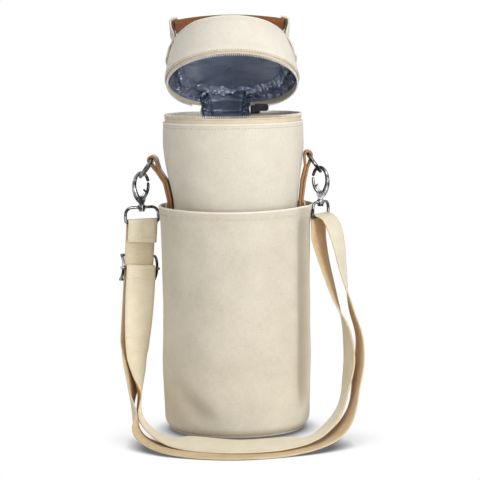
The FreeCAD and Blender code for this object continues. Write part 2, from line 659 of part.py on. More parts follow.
def strap_and_adjuster(left_bar, right_bar):
    """Both stretches of the webbing, and the adjuster's frame and bar."""
    left_w = direction(SIDES["left"][3] - 180)
    right_w = direction(SIDES["right"][3])
    back = Vector(0, 1, 0)
    lean_back = Vector(0, 0.966, 0.259)
    front = hang_frame(left_w)
    hang = Vector(HANG).normalize()
    across = (left_w - hang * left_w.dot(hang)).normalize()
    rear_line = left_bar - front * LOOP_R
    bar_depth = ADJ_LOOP_R + STRAP_GAP + STRAP_T - LOOP_R
    adj_bar = left_bar + hang * ((left_bar.z - ADJ_Z) / -hang.z) + front * bar_depth
    front_line = adj_bar + front * ADJ_LOOP_R
    seam = front_line + hang * 62.0

    tail = adj_bar - front * ADJ_LOOP_R + hang * 15.0
    sewn = [(tail, across)] + over_bar(adj_bar, -front, across, ADJ_LOOP_R, 180, -hang)
    sewn += [(front_line + hang * reach, across) for reach in (4, 20, 40, 56, 62)]

    lay = [
        (seam + hang * 4, across),
        (Vector(-90, -8, 62), Vector(0.5, 0.86, 0)),
        (Vector(-88.5, -23, 41), Vector(0.05, 1, 0)),
        (Vector(-85, -46, 23), Vector(-0.25, 1, 0)),
        (Vector(-70, -77, 10), Vector(0.3, 0.9, -0.2)),
        (Vector(-44, -102, 6.5), Vector(0, 0.98, 0.2)),
        (Vector(0, -117, 6.3), lean_back),
        (Vector(44, -108, 6.5), Vector(0, 0.98, 0.15)),
        (Vector(73, -84, 11), Vector(-0.3, 0.9, -0.2)),
        (Vector(92, -51, 30), back),
        (Vector(100, -28, 58), Vector(-0.25, 1, 0)),
        (Vector(98.5, -14, 88), Vector(-0.2, 1, 0)),
        (Vector(89.5, -5, 116), back * 0.7 + right_w * 0.3),
        (Vector(80, -0.5, 150), back * 0.3 + right_w * 0.7),
        (Vector(75.5, 0.8, 171), right_w),
    ]
    rear_side = UP.cross(right_w)
    turn = over_bar(right_bar, rear_side, right_w, LOOP_R, 120)
    outer = [
        turn[-1],
        (Vector(84.5, -2.4, 189), right_w),
        (Vector(89.5, -3.6, 180), right_w),
        (Vector(93.5, -4.4, 164), right_w * 0.8 + back * 0.2),
        (Vector(97.5, -6, 138), right_w * 0.4 + back * 0.6),
        (Vector(103, -10, 110), Vector(-0.1, 1, 0)),
        (Vector(109.5, -20, 84), Vector(-0.15, 1, 0)),
        (Vector(110.5, -37, 56), Vector(-0.2, 1, 0)),
        (Vector(102.5, -62, 28), Vector(-0.05, 1, 0)),
        (Vector(81, -97, 8), Vector(-0.35, 0.9, -0.1)),
        (Vector(48, -121, 1.6), back),
        (Vector(0, -135, 1), back),
        (Vector(-46, -122, 1.6), back),
        (Vector(-73, -97, 5), Vector(0.35, 0.9, -0.1)),
        (Vector(-87, -66, 15), Vector(-0.25, 1, 0)),
        (Vector(-94, -39, 34), back),
        (Vector(-93.5, -8, 60), Vector(0.5, 0.86, 0)),
        (rear_line + hang * 100, left_w),
    ]
    end = left_bar + front * LOOP_R + hang * 18.0
    run = [(seam + hang * STRAP_GAP, across)] + glide(lay, 4) + turn[:-1] + glide(outer, 4)
    run += [(rear_line + hang * 50, left_w), (rear_line + hang * 6, left_w)]
    run += over_bar(left_bar, -front, left_w, LOOP_R) + [(end, left_w)]

    half_w = across * (STRAP_W / 2 + 1.0 + ADJ_WIRE_R)
    bar_back = -front * (bar_depth + LOOP_R + STRAP_T / 2 + STRAP_GAP + ADJ_WIRE_R)
    pieces = []
    for side in (-1, 1):
        for end_at in (-1, 1):
            corner = adj_bar + hang * (ADJ_HALF * end_at) + bar_back + half_w * side
            pieces.append(Part.makeSphere(ADJ_WIRE_R, corner))
        low = adj_bar + hang * ADJ_HALF + bar_back + half_w * side
        high = adj_bar - hang * ADJ_HALF + bar_back + half_w * side
        pieces.append(bent_rod(low, adj_bar + half_w * side, high, ADJ_WIRE_R))
    for end_at in (-1, 1):
        middle = adj_bar + hang * (ADJ_HALF * end_at) + bar_back
        pieces.append(rod(middle - half_w, middle + half_w, ADJ_WIRE_R))
    knob = across * (ADJ_WIRE_R + 1.2)
    bar = rod(adj_bar - half_w - knob, adj_bar + half_w + knob, ADJ_WIRE_R * 0.8)
    frame = fused(*pieces).cut(bar)
    return {
        "strap_sewn_run": webbing(sewn),
        "strap_webbing": webbing(run),
        "adjuster_frame": frame,
        "adjuster_bar": bar,
    }


def build():
    pieces = {"body_shell": body_shell(), "body_foam": body_foam(), "body_lining": body_lining()}
    pieces.update(base_pieces())
    pieces["pocket_sleeve"] = pocket_sleeve()
    pieces["body_rim_piping"] = rim_piping()
    pieces["body_zip_teeth"], pieces["body_zip_tape"] = zip_half(-1, TAPE_H)
    sweep = HINGE_TO - HINGE_FROM
    panel_up = LID_SEAM - SEAM_GAP
    pieces["hinge_panel"] = hinge_cloth(ZIP_R - 0.4, CANVAS, 7.2, panel_up, HINGE_FROM, sweep)
    pieces["hinge_lining"] = hinge_cloth(ZIP_R - 2.2, LINING, 11.0, LID_SEAM + 3, HINGE_FROM + 1, sweep - 2)
    pieces.update(lid_pieces())
    slider, bar_x = zip_slider()
    pieces["zip_slider"] = slider.rotated(ORIGIN, UP, SLIDER_AT)
    pieces["zip_pull"] = zip_pull(bar_x).rotated(ORIGIN, UP, SLIDER_AT)
    bars = []
    for name in SIDES:
        placed, bar = side_pieces(name)
        pieces.update(placed)
        bars.append(bar)
    pieces.update(strap_and_adjuster(*bars))
    return pieces


os.makedirs("parts", exist_ok=True)
for node, shape in build().items():
    shape.exportStep("parts/" + node + ".step")
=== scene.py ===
import bpy
import json
import math
from mathutils import Matrix, Vector, noise


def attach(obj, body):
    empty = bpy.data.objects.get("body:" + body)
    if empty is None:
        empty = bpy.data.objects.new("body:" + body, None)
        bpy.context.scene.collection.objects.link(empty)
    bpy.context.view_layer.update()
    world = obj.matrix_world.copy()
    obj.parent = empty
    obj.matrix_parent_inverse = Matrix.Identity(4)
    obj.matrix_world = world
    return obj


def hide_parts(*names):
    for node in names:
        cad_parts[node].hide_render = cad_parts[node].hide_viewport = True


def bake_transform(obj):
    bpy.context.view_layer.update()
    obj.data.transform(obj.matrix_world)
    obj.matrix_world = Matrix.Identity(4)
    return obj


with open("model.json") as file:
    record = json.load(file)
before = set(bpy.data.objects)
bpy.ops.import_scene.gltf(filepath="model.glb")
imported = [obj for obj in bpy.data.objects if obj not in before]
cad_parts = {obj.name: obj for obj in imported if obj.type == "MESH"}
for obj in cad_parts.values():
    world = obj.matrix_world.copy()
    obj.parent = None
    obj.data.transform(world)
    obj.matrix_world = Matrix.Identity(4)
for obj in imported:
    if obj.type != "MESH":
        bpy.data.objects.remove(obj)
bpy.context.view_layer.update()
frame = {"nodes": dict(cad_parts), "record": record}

# Camera and studio, in metres
VIEW_DISTANCE = 1.95
VIEW_HEIGHT = 0.370
VIEW_AIM = Vector((0.0047, 0.0, 0.1703))
VIEW_WIDTH = 0.431
VIEW_ROLL = 0.0150
WORLD_LIGHT = 0.28
FLOOR_SIZE = 6.0
FLOOR_Z_M = -0.0002     # just under the base

# Sizes in millimetres, as in the part's source
MM = 0.001
RIM_Z = 285.0
CANVAS = 1.2
LINING = 0.6
BODY_RIM_R = 62.5
BODY_WAIST_R = 57.0
BODY_FULL_R = 63.0
BODY_SIDE = [(57.6, 5.0), (57.4, 70.4), (57.1, 140.7), (57.0, 190.0), (57.4, 208.0), (60.3, 232.0),
             (63.0, 256.0), (62.5, 275.5)]
RIM_ROW_Z = 273.2       # stitches under the body's rim
CAVITY_R = 51.0
FLOOR_Z = 8.0
SLEEVE_Z = 201.0
SLEEVE_SIDE = [(65.3, 13.4), (66.5, 70.4), (66.8, 140.7), (68.5, 201.0)]
HEM_ROW_Z = 195.8       # stitches of the sleeve's hem
BASE_R = 49.6
FOOT_R = 52.3
FOOT_ROUND = 13.0
FOOT_TOP_Z = 13.4
FOOT_INSIDE = 0.908     # the foot's inside round, as a share of its outside
ZIP_R = 60.6
ZIP_FROM = 119.5
ZIP_SWEEP = 316.0
TAPE_T = 0.76
TAPE_OFF = 2.9          # from the zip's middle to the edge of a tape
TOOTH_OFF = 1.9         # and to the middle of a row of teeth
SLIDER_PARK = 10.5
HINGE_FROM = 77.0
HINGE_TO = 118.0
HINGE = Vector((0, 62.0, RIM_Z))
LID_OPEN = 26.0
LID_H = 39.0
LID_TOP_R = 54.5
LID_SIDE = [(62.5, 5.0), (62.35, 9.5), (60.98, 15.0), (59.38, 24.0), (57.18, 32.0), (54.9, 37.4)]
LID_SQUEEZE = 0.964     # the soft lid stands a little narrower than its zip
LID_TAPER = 0.0005      # more so towards its top
LID_LEAN = 0.035        # and leans to the left
HANDLE_W = 25.0
HANDLE_T = 2.6
HANDLE_END_X = 49.0
HANDLE_END_H = 15.5
HANDLE_MID_H = 20.2
LEG_T = 1.8
LEG_FOOT_H = 22.0
TAB_W = 20.0
TAB_FOOT_Z = 176.0
TAB_BEND_Z = 206.0
TAB_LEAVE_Z = 223.0
TAB_NECK = 11.0         # from a tab's loop down to where its layers meet
TABS = {"left": (176.0, BODY_FULL_R + 9.8, 243.5), "right": (0.0, BODY_FULL_R + 3.7, 246.5)}
PATCH_H = 27.0
PATCH_T = 1.2
PATCH_RISE = 3.5
SKIN_GAP = 0.2
RING_WIRE_R = 1.6
LEATHER = 2.0
STRAP_W = 28.0
STRAP_T = 1.5
STRAP_GAP = 0.3
EYE_WIRE_R = 1.4
ADJ_WIRE_R = 1.25
ADJ_Z = 146.0
EYE_DROP = 15.5         # from the top of a collar to the eye's lower bar
EYE_TURN = {"left": 204.0, "right": 62.0}
SWIVELS = {"left": Vector((-83.21, 5.82, 202.85)), "right": Vector((77.31, 0.0, 205.85))}
LOOP_R = EYE_WIRE_R + STRAP_GAP + STRAP_T / 2
ADJ_LOOP_R = ADJ_WIRE_R + STRAP_GAP + STRAP_T / 2
HANG = Vector((-0.068, -0.059, -0.996)).normalized()
UP = Vector((0, 0, 1))
BACK = Vector((0, 1, 0))
LID_TURN = Matrix.Rotation(-math.radians(LID_OPEN), 3, "X")
LID_AXIS = LID_TURN @ UP

# Stitches and teeth in millimetres: spacing, and the length, depth and height of one
RIM_STITCH = (2.9, (2.1, 0.55, 0.55))
PATCH_STITCH = (2.8, (2.1, 0.55, 0.55))
HEM_STITCH = (2.9, (2.1, 0.7, 0.7))
TAPE_STITCH = (2.2, (1.9, 0.4, 0.5))
LID_STITCH = (2.6, (2.2, 0.5, 0.5))
HANDLE_STITCH = (3.2, (2.3, 0.7, 0.5))
STRAP_STITCH = (2.9, (2.1, 1.2, 1.2))
TOOTH = (1.7, (0.85, 2.0, 2.6))

# How finely pieces are divided
BODY_COLUMNS = 220
SLEEVE_COLUMNS = 400
LID_LINER_COLUMNS = 300
PAD_COLUMNS = 96
HINGE_COLUMNS = 48
SHARP_EDGE = math.radians(55)

# The simulated cloth of the lid's lining
CLOTH = {"quality": 5, "mass": 0.05, "tension_stiffness": 12, "compression_stiffness": 12,
         "shear_stiffness": 6, "bending_stiffness": 0.4, "air_damping": 3}
CLOTH_FRAMES = 18

# Where folds lie, in degrees round the bag; the front is at 270 and the right at 360
LEFT_DENT = 178
LOW_FOLD = 238
HIGH_FOLD = 236
RIGHT_FOLD = 331.5
RIGHT_RIDGE = 341


# ---------------------------------------------------------------- materials

def paint(red, green, blue):
    """An sRGB colour of 0 to 255 as the linear colour that a shader takes."""
    parts = []
    for value in (red, green, blue):
        share = value / 255
        parts.append(share / 12.92 if share <= 0.04045 else ((share + 0.055) / 1.055) ** 2.4)
    return (*parts, 1.0)


class Nodes:
    """A node tree, with short ways to add its nodes."""

    def __init__(self, tree):
        self.tree = tree

    def add(self, kind, inputs, **settings):
        node = self.tree.nodes.new(kind)
        for key, value in settings.items():
            setattr(node, key, value)
        for key, value in inputs.items():
            self.put(node.inputs[key], value)
        return node

    def put(self, socket, value):
        if isinstance(value, bpy.types.NodeSocket):
            self.tree.links.new(value, socket)
        else:
            socket.default_value = value

    def maths(self, operation, first, second=0.0):
        return self.add("ShaderNodeMath", {0: first, 1: second}, operation=operation).outputs[0]

    def span(self, value, low, high, to_low, to_high):
        inputs = {"Value": value, "From Min": low, "From Max": high, "To Min": to_low, "To Max": to_high}
        return self.add("ShaderNodeMapRange", inputs).outputs[0]

    def seen(self):
        """1 for a ray from the eye, straight, mirrored or through glass, and 0 for any other."""
        rays = self.add("ShaderNodeLightPath", {}).outputs
        indirect = self.maths("MAXIMUM", rays["Is Glossy Ray"], rays["Is Transmission Ray"])
        return self.maths("MAXIMUM", rays["Is Camera Ray"], indirect)


class Finish(Nodes):
    """One procedural material."""

    def __init__(self, name):
        self.material = bpy.data.materials.new(name)
        self.material.use_nodes = True
        super().__init__(self.material.node_tree)
        self.tree.nodes.clear()
        self.out = self.add("ShaderNodeOutputMaterial", {})
        self.skin = self.add("ShaderNodeBsdfPrincipled", {})
        self.put(self.out.inputs["Surface"], self.skin.outputs[0])

    def set(self, **values):
        for key, value in values.items():
            self.put(self.skin.inputs[key.replace("_", " ")], value)

    def cloth(self):
        return self.add("ShaderNodeUVMap", {}, uv_map="metres").outputs[0]

    def place(self):
        return self.add("ShaderNodeTexCoord", {}).outputs["Object"]

    def marked(self, name):
        """The number that mark() gave to each point."""
        return self.add("ShaderNodeAttribute", {}, attribute_name=name).outputs["Fac"]

    def openness(self, distance, samples=8):
        """1 in the open, less where something stands within the distance."""
        inputs = {"Distance": distance}
        return self.add("ShaderNodeAmbientOcclusion", inputs, samples=samples).outputs["AO"]

    def stretched(self, coords, scale):
        return self.add("ShaderNodeMapping", {"Vector": coords, "Scale": scale}).outputs[0]

    def noise(self, coords, scale, detail=3.0, rough=0.55):
        inputs = {"Vector": coords, "Scale": scale, "Detail": detail, "Roughness": rough}
        return self.add("ShaderNodeTexNoise", inputs).outputs["Fac"]

    def cells(self, coords, scale, feature="F1"):
        node = self.add("ShaderNodeTexVoronoi", {"Vector": coords, "Scale": scale}, feature=feature)
        return node.outputs["Distance"]

    def wave(self, coords, direction, period, wander=0.0):
        inputs = {"Vector": coords, "Scale": math.tau / 20 / period, "Distortion": wander, "Detail": 1.0}
        return self.add("ShaderNodeTexWave", inputs, bands_direction=direction).outputs["Fac"]

    def total(self, *terms):
        """A weighted sum of (socket, weight) terms."""
        result = None
        for socket, weight in terms:
            part = self.maths("MULTIPLY", socket, weight)
            result = part if result is None else self.maths("ADD", result, part)
        return result

    def ramp(self, value, *stops):
        node = self.add("ShaderNodeValToRGB", {"Fac": value})
        marks = node.color_ramp.elements
        while len(marks) < len(stops):
            marks.new(0.5)
        for mark, (place, colour) in zip(marks, stops):
            mark.position = place
            mark.color = colour
        return node.outputs["Color"]

    def mix(self, share, first, second):
        node = self.add("ShaderNodeMix", {}, data_type="RGBA")
        self.put(node.inputs["Factor"], share)
        self.put(node.inputs[6], first)
        self.put(node.inputs[7], second)
        return node.outputs[2]

    def bump(self, height, strength, depth, under=None):
        inputs = {"Height": height, "Strength": strength, "Distance": depth}
        if under is not None:
            inputs["Normal"] = under
        return self.add("ShaderNodeBump", inputs).outputs[0]


def canvas_finish(name, light, shade, thread=0.0011):
    """Cotton canvas: plain weave with slubs, cloudy tone and a few darker flecks, with painted shade
    where it is tucked in and where a fold is marked."""
    f = Finish(name)
    cloth = f.cloth()
    warp = f.maths("SUBTRACT", f.wave(cloth, "X", thread, 0.6), 0.5)
    weft = f.maths("SUBTRACT", f.wave(cloth, "Y", thread, 0.6), 0.5)
    weave = f.maths("MULTIPLY", warp, weft)
    slub = f.noise(f.stretched(cloth, (160, 1400, 1)), 1.0, 2.0)
    cross_slub = f.noise(f.stretched(cloth, (1400, 160, 1)), 1.0, 2.0)
    cloud = f.noise(cloth, 34, 5.0, 0.6)
    fleck = f.noise(cloth, 620, 2.0)
    tone = f.total((cloud, 0.44), (slub, 0.26), (cross_slub, 0.26), (fleck, 0.14), (weave, 0.22))
    colour = f.ramp(tone, (0.38, shade), (0.66, light))
    specks = f.span(f.noise(cloth, 330, 1.0), 0.69, 0.76, 0.0, 0.2)
    colour = f.mix(specks, colour, paint(176, 160, 132))
    # painted shade: greyed brown where other shapes close in within 12 mm
    colour = f.mix(f.span(f.openness(0.012), 0.4, 0.88, 0.5, 0.0), colour, paint(150, 132, 104))
    # painted shade in the folds that a piece marks
    colour = f.mix(f.marked("fold"), colour, paint(128, 114, 92))
    rise = f.total((weave, 1.0), (slub, 0.35), (cross_slub, 0.35), (fleck, 0.25))
    puckers = f.bump(f.noise(cloth, 95, 3.0), 0.10, 0.0012)
    f.set(Base_Color=colour, Roughness=f.span(cloud, 0.3, 0.7, 0.82, 0.95), Sheen_Weight=0.12)
    f.set(Sheen_Roughness=0.5, Specular_IOR_Level=0.25, Normal=f.bump(rise, 0.45, 0.0004, puckers))
    return f.material


def webbing_finish():
    """Ribbed cotton webbing, denser at both edges, with tan painted shade on its back face and in its
    hollows.
    """
    f = Finish("webbing_weave")
    cloth = f.cloth()
    rib = f.wave(cloth, "Y", 0.0019, 0.5)
    cord = f.wave(cloth, "X", 0.0014, 0.4)
    weave = f.maths("MULTIPLY", f.maths("SUBTRACT", rib, 0.5), f.maths("SUBTRACT", cord, 0.5))
    across = f.add("ShaderNodeSeparateXYZ", {"Vector": cloth}).outputs[0]
    from_middle = f.maths("ABSOLUTE", f.maths("SUBTRACT", across, STRAP_W / 2 * MM))
    edge = f.span(from_middle, 0.0112, 0.0122, 0.0, 1.0)
    cloud = f.noise(cloth, 55, 4.0, 0.6)
    fuzz = f.noise(cloth, 900, 2.0)
    tone = f.total((cloud, 0.55), (fuzz, 0.2), (rib, 0.1), (weave, 0.25))
    colour = f.ramp(tone, (0.32, paint(236, 223, 194)), (0.62, paint(251, 243, 222)))
    # painted shade: the back face is tinted tan, as shaded webbing looks
    tan = f.ramp(tone, (0.32, paint(214, 182, 134)), (0.62, paint(238, 216, 178)))
    colour = f.mix(f.marked("reverse_shade"), colour, tan)
    colour = f.mix(f.maths("MULTIPLY", edge, 0.3), colour, paint(222, 204, 166))
    # painted shade: browner where other shapes close in within 15 mm
    colour = f.mix(f.span(f.openness(0.015), 0.1, 0.6, 0.5, 0.0), colour, paint(196, 158, 108))
    rise = f.total((rib, 0.4), (weave, 1.0), (fuzz, 0.25), (edge, 0.5))
    f.set(Base_Color=colour, Roughness=f.span(cloud, 0.3, 0.7, 0.8, 0.95), Sheen_Weight=0.15)
    f.set(Specular_IOR_Level=0.25, Normal=f.bump(rise, 0.45, 0.0004))
    return f.material


def leather_finish(name, light, dark, edge_light, edge_dark):
    """Tan leather: pebbled grain, cloudy dye and cut edges of their own colour."""
    f = Finish(name)
    cloth = f.cloth()
    pebble = f.cells(cloth, 850)
    crease = f.cells(cloth, 240, "DISTANCE_TO_EDGE")
    cloud = f.noise(cloth, 70, 5.0, 0.62)
    tone = f.total((cloud, 0.75), (pebble, 0.22), (f.noise(cloth, 800, 2.0), 0.18))
    colour = f.ramp(tone, (0.34, dark), (0.68, light))
    grainy = f.ramp(f.noise(cloth, 1500, 3.0), (0.35, edge_dark), (0.7, edge_light))
    colour = f.mix(f.marked("cut_edge"), colour, grainy)
    worn = f.span(f.noise(cloth, 160, 4.0), 0.58, 0.75, 0.0, 0.3)
    colour = f.mix(worn, colour, paint(184, 122, 68))
    rise = f.total((pebble, 0.7), (f.maths("MINIMUM", crease, 0.12), 3.0), (cloud, 0.5))
    f.set(Base_Color=colour, Roughness=f.span(cloud, 0.3, 0.7, 0.42, 0.62), Specular_IOR_Level=0.4)
    f.set(Normal=f.bump(rise, 0.35, 0.0004))
    return f.material


def lining_finish(name, light, dark):
    """Shiny coated lining, slate blue, crinkled where the cloth is marked as crumpled."""
    f = Finish(name)
    place = f.place()
    cloud = f.noise(place, 45, 4.0, 0.6)
    crinkle = f.cells(f.stretched(place, (1.0, 1.0, 1.5)), 92, "DISTANCE_TO_EDGE")
    fine = f.noise(place, 520, 4.0, 0.65)
    tone = f.total((cloud, 0.85), (fine, 0.15))
    colour = f.ramp(tone, (0.35, dark), (0.65, light))
    rise = f.total((f.maths("MINIMUM", crinkle, 0.25), 1.2), (fine, 0.08), (cloud, 0.8))
    crumple = f.marked("crumple")
    gloss = f.span(crumple, 0.0, 1.0, 0.34, 0.18)
    f.set(Base_Color=colour, Roughness=gloss, Specular_IOR_Level=0.7, Metallic=0.4)
    f.set(Normal=f.bump(rise, f.span(crumple, 0.0, 1.0, 0.10, 0.9), 0.003))
    return f.material


def tape_finish():
    """Woven zip tape with a herringbone."""
    f = Finish("zip_tape_twill")
    cloth = f.cloth()
    parts = f.add("ShaderNodeSeparateXYZ", {"Vector": cloth})
    zigzag = f.maths("PINGPONG", parts.outputs[0], 0.0022)
    slant = f.add("ShaderNodeCombineXYZ", {"X": f.maths("ADD", zigzag, parts.outputs[1])}).outputs[0]
    twill = f.wave(slant, "X", 0.0009, 0.3)
    cloud = f.noise(cloth, 90, 4.0, 0.6)
    fuzz = f.noise(cloth, 1100, 2.0)
    tone = f.total((twill, 0.35), (cloud, 0.45), (fuzz, 0.2))
    colour = f.ramp(tone, (0.28, paint(214, 197, 164)), (0.66, paint(243, 232, 208)))
    f.set(Base_Color=colour, Roughness=f.span(cloud, 0.3, 0.7, 0.75, 0.9), Sheen_Weight=0.1)
    f.set(Specular_IOR_Level=0.3, Normal=f.bump(f.total((twill, 1.0), (fuzz, 0.3)), 0.4, 0.0003))
    return f.material


def thread_finish(name, light, dark):
    """Twisted sewing thread."""
    f = Finish(name)
    place = f.place()
    twist = f.wave(place, "DIAGONAL", 0.0007)
    fuzz = f.noise(place, 1300, 2.0)
    colour = f.ramp(f.total((twist, 0.6), (fuzz, 0.4)), (0.3, dark), (0.7, light))
    f.set(Base_Color=colour, Roughness=f.span(fuzz, 0.3, 0.7, 0.6, 0.85), Normal=f.bump(twist, 0.4, 0.0002))
    return f.material


def coil_finish():
    """Nylon zip teeth, off white and slightly glossy."""
    f = Finish("nylon_teeth")
    place = f.place()
    cloud = f.noise(place, 300, 3.0)
    colour = f.ramp(cloud, (0.3, paint(214, 207, 194)), (0.7, paint(240, 234, 222)))
    f.set(Base_Color=colour, Roughness=f.span(cloud, 0.3, 0.7, 0.3, 0.5))
    f.set(Normal=f.bump(f.noise(place, 2500, 2.0), 0.15, 0.0001))
    return f.material


def metal_finish(name, light, dark, gloss, metallic):
    """Cast and polished metal: hair scratches, painted reflections in cloudy dark and light, painted shade
    in hollows.
    """
    f = Finish(name)
    place = f.place()
    cloud = f.noise(place, 130, 4.0, 0.6)
    scratch = f.noise(f.stretched(place, (350, 350, 5200)), 1.0, 2.0)
    # painted reflection: cloudy patches from near black to light stand for what the metal mirrors, with real
    # scratches mixed in
    colour = f.ramp(f.total((cloud, 0.75), (scratch, 0.25)), (0.44, dark), (0.64, light))
    # painted shade in the hollows, within 4 mm
    colour = f.mix(f.span(f.openness(0.004), 0.35, 0.9, 0.85, 0.0), colour, paint(26, 25, 26))
    rough = f.span(f.total((cloud, 0.5), (scratch, 0.5)), 0.35, 0.65, gloss, gloss + 0.14)
    f.set(Base_Color=colour, Metallic=metallic, Roughness=rough)
    f.set(Normal=f.bump(f.total((scratch, 0.5), (cloud, 1.0)), 0.12, 0.0003))
    return f.material


def foam_finish():
    """Closed-cell padding, pale grey."""
    f = Finish("padding_foam")
    place = f.place()
    pores = f.cells(place, 900)
    cloud = f.noise(place, 80, 4.0)
    tone = f.total((pores, 0.6), (cloud, 0.5))
    colour = f.ramp(tone, (0.25, paint(196, 196, 192)), (0.7, paint(232, 232, 228)))
    f.set(Base_Color=colour, Roughness=f.span(pores, 0.2, 0.8, 0.8, 0.98))
    f.set(Normal=f.bump(pores, 0.6, 0.0006))
    return f.material


def board_finish():
    """Stiffening board of pressed grey plastic."""
    f = Finish("base_board_plastic")
    place = f.place()
    grain = f.noise(place, 420, 4.0)
    cloud = f.noise(place, 40, 3.0)
    tone = f.total((grain, 0.5), (cloud, 0.5))
    colour = f.ramp(tone, (0.35, paint(188, 188, 186)), (0.65, paint(218, 218, 214)))
    f.set(Base_Color=colour, Roughness=f.span(grain, 0.3, 0.7, 0.45, 0.65))
    f.set(Normal=f.bump(grain, 0.25, 0.0004))
    return f.material


CANVAS_BODY = canvas_finish("canvas_cream", paint(236, 229, 213), paint(220, 211, 192))
CANVAS_LID = canvas_finish("canvas_lid", paint(244, 238, 225), paint(230, 222, 205))
CANVAS_SLEEVE = canvas_finish("canvas_sleeve", paint(229, 220, 202), paint(210, 200, 181))
CANVAS_EDGE = canvas_finish("canvas_piping", paint(252, 248, 237), paint(238, 230, 212), 0.0008)
# dark canvas that stands for the shade inside each handle leg: painted shade
CANVAS_SHADE = canvas_finish("canvas_painted_shade", paint(134, 118, 84), paint(88, 76, 50), 0.0016)
WEBBING = webbing_finish()
LEATHER_TAN = leather_finish("leather_tan", paint(194, 118, 58), paint(160, 92, 40),
                             paint(136, 88, 52), paint(98, 62, 38))
LEATHER_TAB = leather_finish("leather_tab", paint(158, 106, 62), paint(122, 78, 44),
                             paint(196, 146, 96), paint(152, 104, 62))
LINING_COAT = lining_finish("coated_lining", paint(166, 176, 197), paint(134, 144, 165))
# the coated lining again, painted darker for the hinge flap: painted shade
LINING_SHADED = lining_finish("coated_lining_shaded", paint(86, 95, 115), paint(66, 74, 92))
TAPE = tape_finish()
TEETH = coil_finish()
THREAD = thread_finish("thread_cream", paint(246, 240, 224), paint(214, 200, 170))
THREAD_WHITE = thread_finish("thread_white", paint(254, 252, 246), paint(240, 234, 220))
THREAD_TAN = thread_finish("thread_tan", paint(206, 168, 116), paint(168, 126, 78))
THREAD_OLIVE = thread_finish("thread_olive", paint(188, 178, 150), paint(146, 136, 110))
NICKEL = metal_finish("polished_nickel", paint(176, 174, 175), paint(42, 40, 43), 0.07, 1.0)
DARK = metal_finish("dark_lacquer", paint(72, 70, 73), paint(46, 45, 48), 0.32, 0.3)
FOAM = foam_finish()
BOARD = board_finish()


# ---------------------------------------------------------------- shapes

def added(name, data):
    """A new object in the scene."""
    obj = bpy.data.objects.new(name, data)
    bpy.context.scene.collection.objects.link(obj)
    return obj


def polar(radius, angle, height=0.0):
    """A point or direction round the bag's axis."""
    return Vector((radius * math.cos(angle), radius * math.sin(angle), height))


def piece(name, points, faces, uvs, material):
    """A mesh object from points in millimetres, with its cloth laid out in metres."""
    mesh = bpy.data.meshes.new(name)
    mesh.from_pydata([Vector(p) * MM for p in points], [], faces)
    layer = mesh.uv_layers.new(name="metres")
    layer.data.foreach_set("uv", [c * MM for uv in uvs for c in uv])
    mesh.shade_smooth()
    mesh.set_sharp_from_angle(angle=SHARP_EDGE)
    mesh.materials.append(material)
    mesh.update()
    obj = added(name, mesh)
    return obj


def run_lengths(points):
    """Length along a path at each of its points."""
    lengths = [0.0]
    for before, after in zip(points, points[1:]):
        lengths.append(lengths[-1] + (Vector(after) - Vector(before)).length)
    return lengths


def eased(points, steps):
    """Points filled in along a smooth curve through the given ones."""
    points = [Vector(p) for p in points]
    filled = []
    last = len(points) - 1
    for i in range(last):
        near = [points[min(max(i + k, 0), last)] for k in (-1, 0, 1, 2)]
        for step in range(steps):
            t = step / steps
            pull = [-t + 2 * t * t - t ** 3, 2 - 5 * t * t + 3 * t ** 3]
            pull += [t + 4 * t * t - 3 * t ** 3, t ** 3 - t * t]
            spot = points[0] * 0
            for point, weight in zip(near, pull):
                spot = spot + point * (weight / 2)
            filled.append(spot)
    return filled + [points[-1]]


def soft_side(outline, gap):
    """A smooth (radius, height) side with points about every gap millimetres of height."""
    dense = eased(outline, 24)
    heights = [p[1] for p in dense]
    count = max(2, round((heights[-1] - heights[0]) / gap))
    side = []
    k = 0
    for i in range(count + 1):
        want = heights[0] + (heights[-1] - heights[0]) * i / count
        while k < len(dense) - 2 and heights[k + 1] < want:
            k += 1
        share = (want - heights[k]) / max(heights[k + 1] - heights[k], 1e-6)
        side.append((dense[k][0] + share * (dense[k + 1][0] - dense[k][0]), want))
    return side


def sheet_outline(side, thickness):
    """Closed outline of a cloth wall whose outside is the given side, with rounded ends."""
    half = thickness / 2
    low_r, low_z = side[0]
    top_r, top_z = side[-1]
    outline = [(low_r - half, low_z - half * 0.3)] + list(side)
    outline += [(top_r - half * 0.3, top_z + half * 0.5), (top_r - half * 1.7, top_z + half * 0.5)]
    outline += [(r - thickness, z) for r, z in reversed(side)]
    return outline


def lattice(rows, us, vs, flip=False):
    """Faces between rows of point numbers, and the flat cloth: us along a row, vs from row to row."""
    faces = []
    uvs = []
    for near, far, v, next_v in zip(rows, rows[1:], vs, vs[1:]):
        for i in range(len(near) - 1):
            corners = [(near[i], (us[i], v)), (near[i + 1], (us[i + 1], v))]
            corners += [(far[i + 1], (us[i + 1], next_v)), (far[i], (us[i], next_v))]
            if flip:
                corners = [corners[k] for k in (1, 0, 3, 2)]
            kept = []
            for corner in corners:
                if corner[0] not in [k[0] for k in kept]:
                    kept.append(corner)
            if len(kept) > 2:
                faces.append([k[0] for k in kept])
                uvs += [k[1] for k in kept]
    return faces, uvs


def circle_outline(radius, height, wire, count=12):
    """Outline of a round cord."""
    turns = [math.tau * k / count for k in range(count)]
    return [(radius + wire * math.cos(turn), height + wire * math.sin(turn)) for turn in turns]


